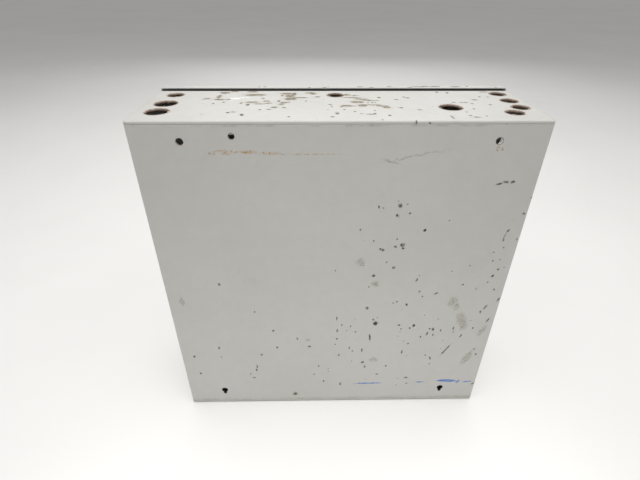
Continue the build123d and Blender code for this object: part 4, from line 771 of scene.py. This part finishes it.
def coil_mesh(low, high):
    """A compression spring along X with closed ends, inside the box from low to high."""
    mesh = bmesh.new()
    around, per_turn = 10, 30
    radius = (high.z - low.z) / 2 - SPRING_WIRE
    middle = (low + high) / 2
    length = high.x - low.x - 2 * SPRING_WIRE
    closed = 1.0 / SPRING_TURNS
    steps = SPRING_TURNS * per_turn
    rings = []
    for step in range(steps + 1):
        share = step / steps
        # The first and last turns lie almost flat, the rest share the length.
        inner = min(max((share - closed) / (1 - 2 * closed), 0.0), 1.0)
        flat = 2.2 * SPRING_WIRE / length
        end = min(share, closed) / closed + max(share - 1 + closed, 0.0) / closed
        x = low.x + SPRING_WIRE + length * (end * flat + inner * (1 - 2 * flat))
        angle = 2 * math.pi * SPRING_TURNS * share
        outward = Vector((0, math.cos(angle), math.sin(angle)))
        center = Vector((x, middle.y, middle.z)) + outward * radius
        ring = []
        for corner in range(around):
            turn = 2 * math.pi * corner / around
            reach = outward * math.cos(turn) + Vector((1, 0, 0)) * math.sin(turn)
            ring.append(mesh.verts.new(center + reach * SPRING_WIRE))
        rings.append(ring)
    for first, second in zip(rings, rings[1:]):
        for corner in range(around):
            after = (corner + 1) % around
            mesh.faces.new((first[corner], first[after], second[after], second[corner]))
    mesh.faces.new(rings[0])
    mesh.faces.new(rings[-1])
    bmesh.ops.recalc_face_normals(mesh, faces=mesh.faces)
    return mesh


spring_low, spring_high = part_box("latch_spring")
spring = add_piece(
    "spring_coil", coil_mesh(spring_low, spring_high), FINISHES["zinc_steel"], "latch"
)
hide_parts("latch_spring")
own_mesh(spring)


# ---- Stage, light and camera -------------------------------------------------------------
def floor_material():
    g = Graph("pale_floor")
    tone = g.mix(g.map(g.noise(1.6, 4.0, 0.6), 0.35, 0.7), (0.87, 0.865, 0.85), (0.84, 0.835, 0.82))
    normal = g.bump(g.noise(90.0, 4.0, 0.6), 0.2 * MM, 0.3)
    return g.finish(Base_Color=tone, Roughness=0.65, Normal=normal)


def make_floor():
    mesh = bmesh.new()
    half, level = 12.0, CAD_BOUNDS[0][2]
    corners = ((-half, -half), (half, -half), (half, half), (-half, half))
    mesh.faces.new([mesh.verts.new((x, y, level)) for x, y in corners])
    data = bpy.data.meshes.new("floor")
    mesh.to_mesh(data)
    mesh.free()
    data.materials.append(floor_material())
    floor = bpy.data.objects.new("floor", data)
    bpy.context.scene.collection.objects.link(floor)


def area_light(name, place, aim, size, power):
    data = bpy.data.lights.new(name, "AREA")
    data.shape = "SQUARE"
    data.size = size
    data.energy = power
    light = bpy.data.objects.new(name, data)
    light.location = place
    direction = Vector(aim) - Vector(place)
    light.rotation_euler = direction.to_track_quat("-Z", "Y").to_euler()
    bpy.context.scene.collection.objects.link(light)


def spot_light(name, place, aim, cone_degrees, power):
    data = bpy.data.lights.new(name, "SPOT")
    data.spot_size = math.radians(cone_degrees)
    data.spot_blend = 1.0
    data.shadow_soft_size = 0.12
    data.energy = power
    light = bpy.data.objects.new(name, data)
    light.location = place
    light.rotation_euler = (Vector(aim) - Vector(place)).to_track_quat("-Z", "Y").to_euler()
    bpy.context.scene.collection.objects.link(light)


def make_world():
    world = bpy.data.worlds.new("studio")
    bpy.context.scene.world = world
    world.use_nodes = True
    background = world.node_tree.nodes["Background"]
    background.inputs["Color"].default_value = (1.0, 0.995, 0.98, 1.0)
    background.inputs["Strength"].default_value = 0.37


def make_camera():
    """A wide lens close behind the box, looking down on its back and upper end."""
    forward = Vector((-0.01644, -0.84164, -0.53980))
    level = forward.cross(Vector((0, 0, 1))).normalized()
    rise = level.cross(forward)
    roll = 0.0042
    right = level * math.cos(roll) + rise * math.sin(roll)
    up = rise * math.cos(roll) - level * math.sin(roll)
    data = bpy.data.cameras.new("camera")
    data.sensor_width = 36.0
    data.lens = 23.37
    data.clip_start = 0.01
    camera = bpy.data.objects.new("camera", data)
    turn = Matrix((right, up, -forward)).transposed().to_4x4()
    camera.matrix_world = Matrix.Translation((0.0239, 0.3437, 0.2860)) @ turn
    bpy.context.scene.collection.objects.link(camera)
    bpy.context.scene.camera = camera


make_floor()
make_world()
area_light("overhead", (0.0, 0.08, 1.6), (0, 0.08, 0), 2.0, 30.0)
spot_light("rear_key", (0.0, 0.9, 1.6), (0.0, 0.14, -0.18), 25.0, 47.0)
area_light("front_fill", (-0.1, -2.0, 1.1), (0, 0, 0), 1.8, 8.0)
make_camera()
bpy.context.scene.view_settings.view_transform = "Standard"
bpy.context.scene.view_settings.look = "None"
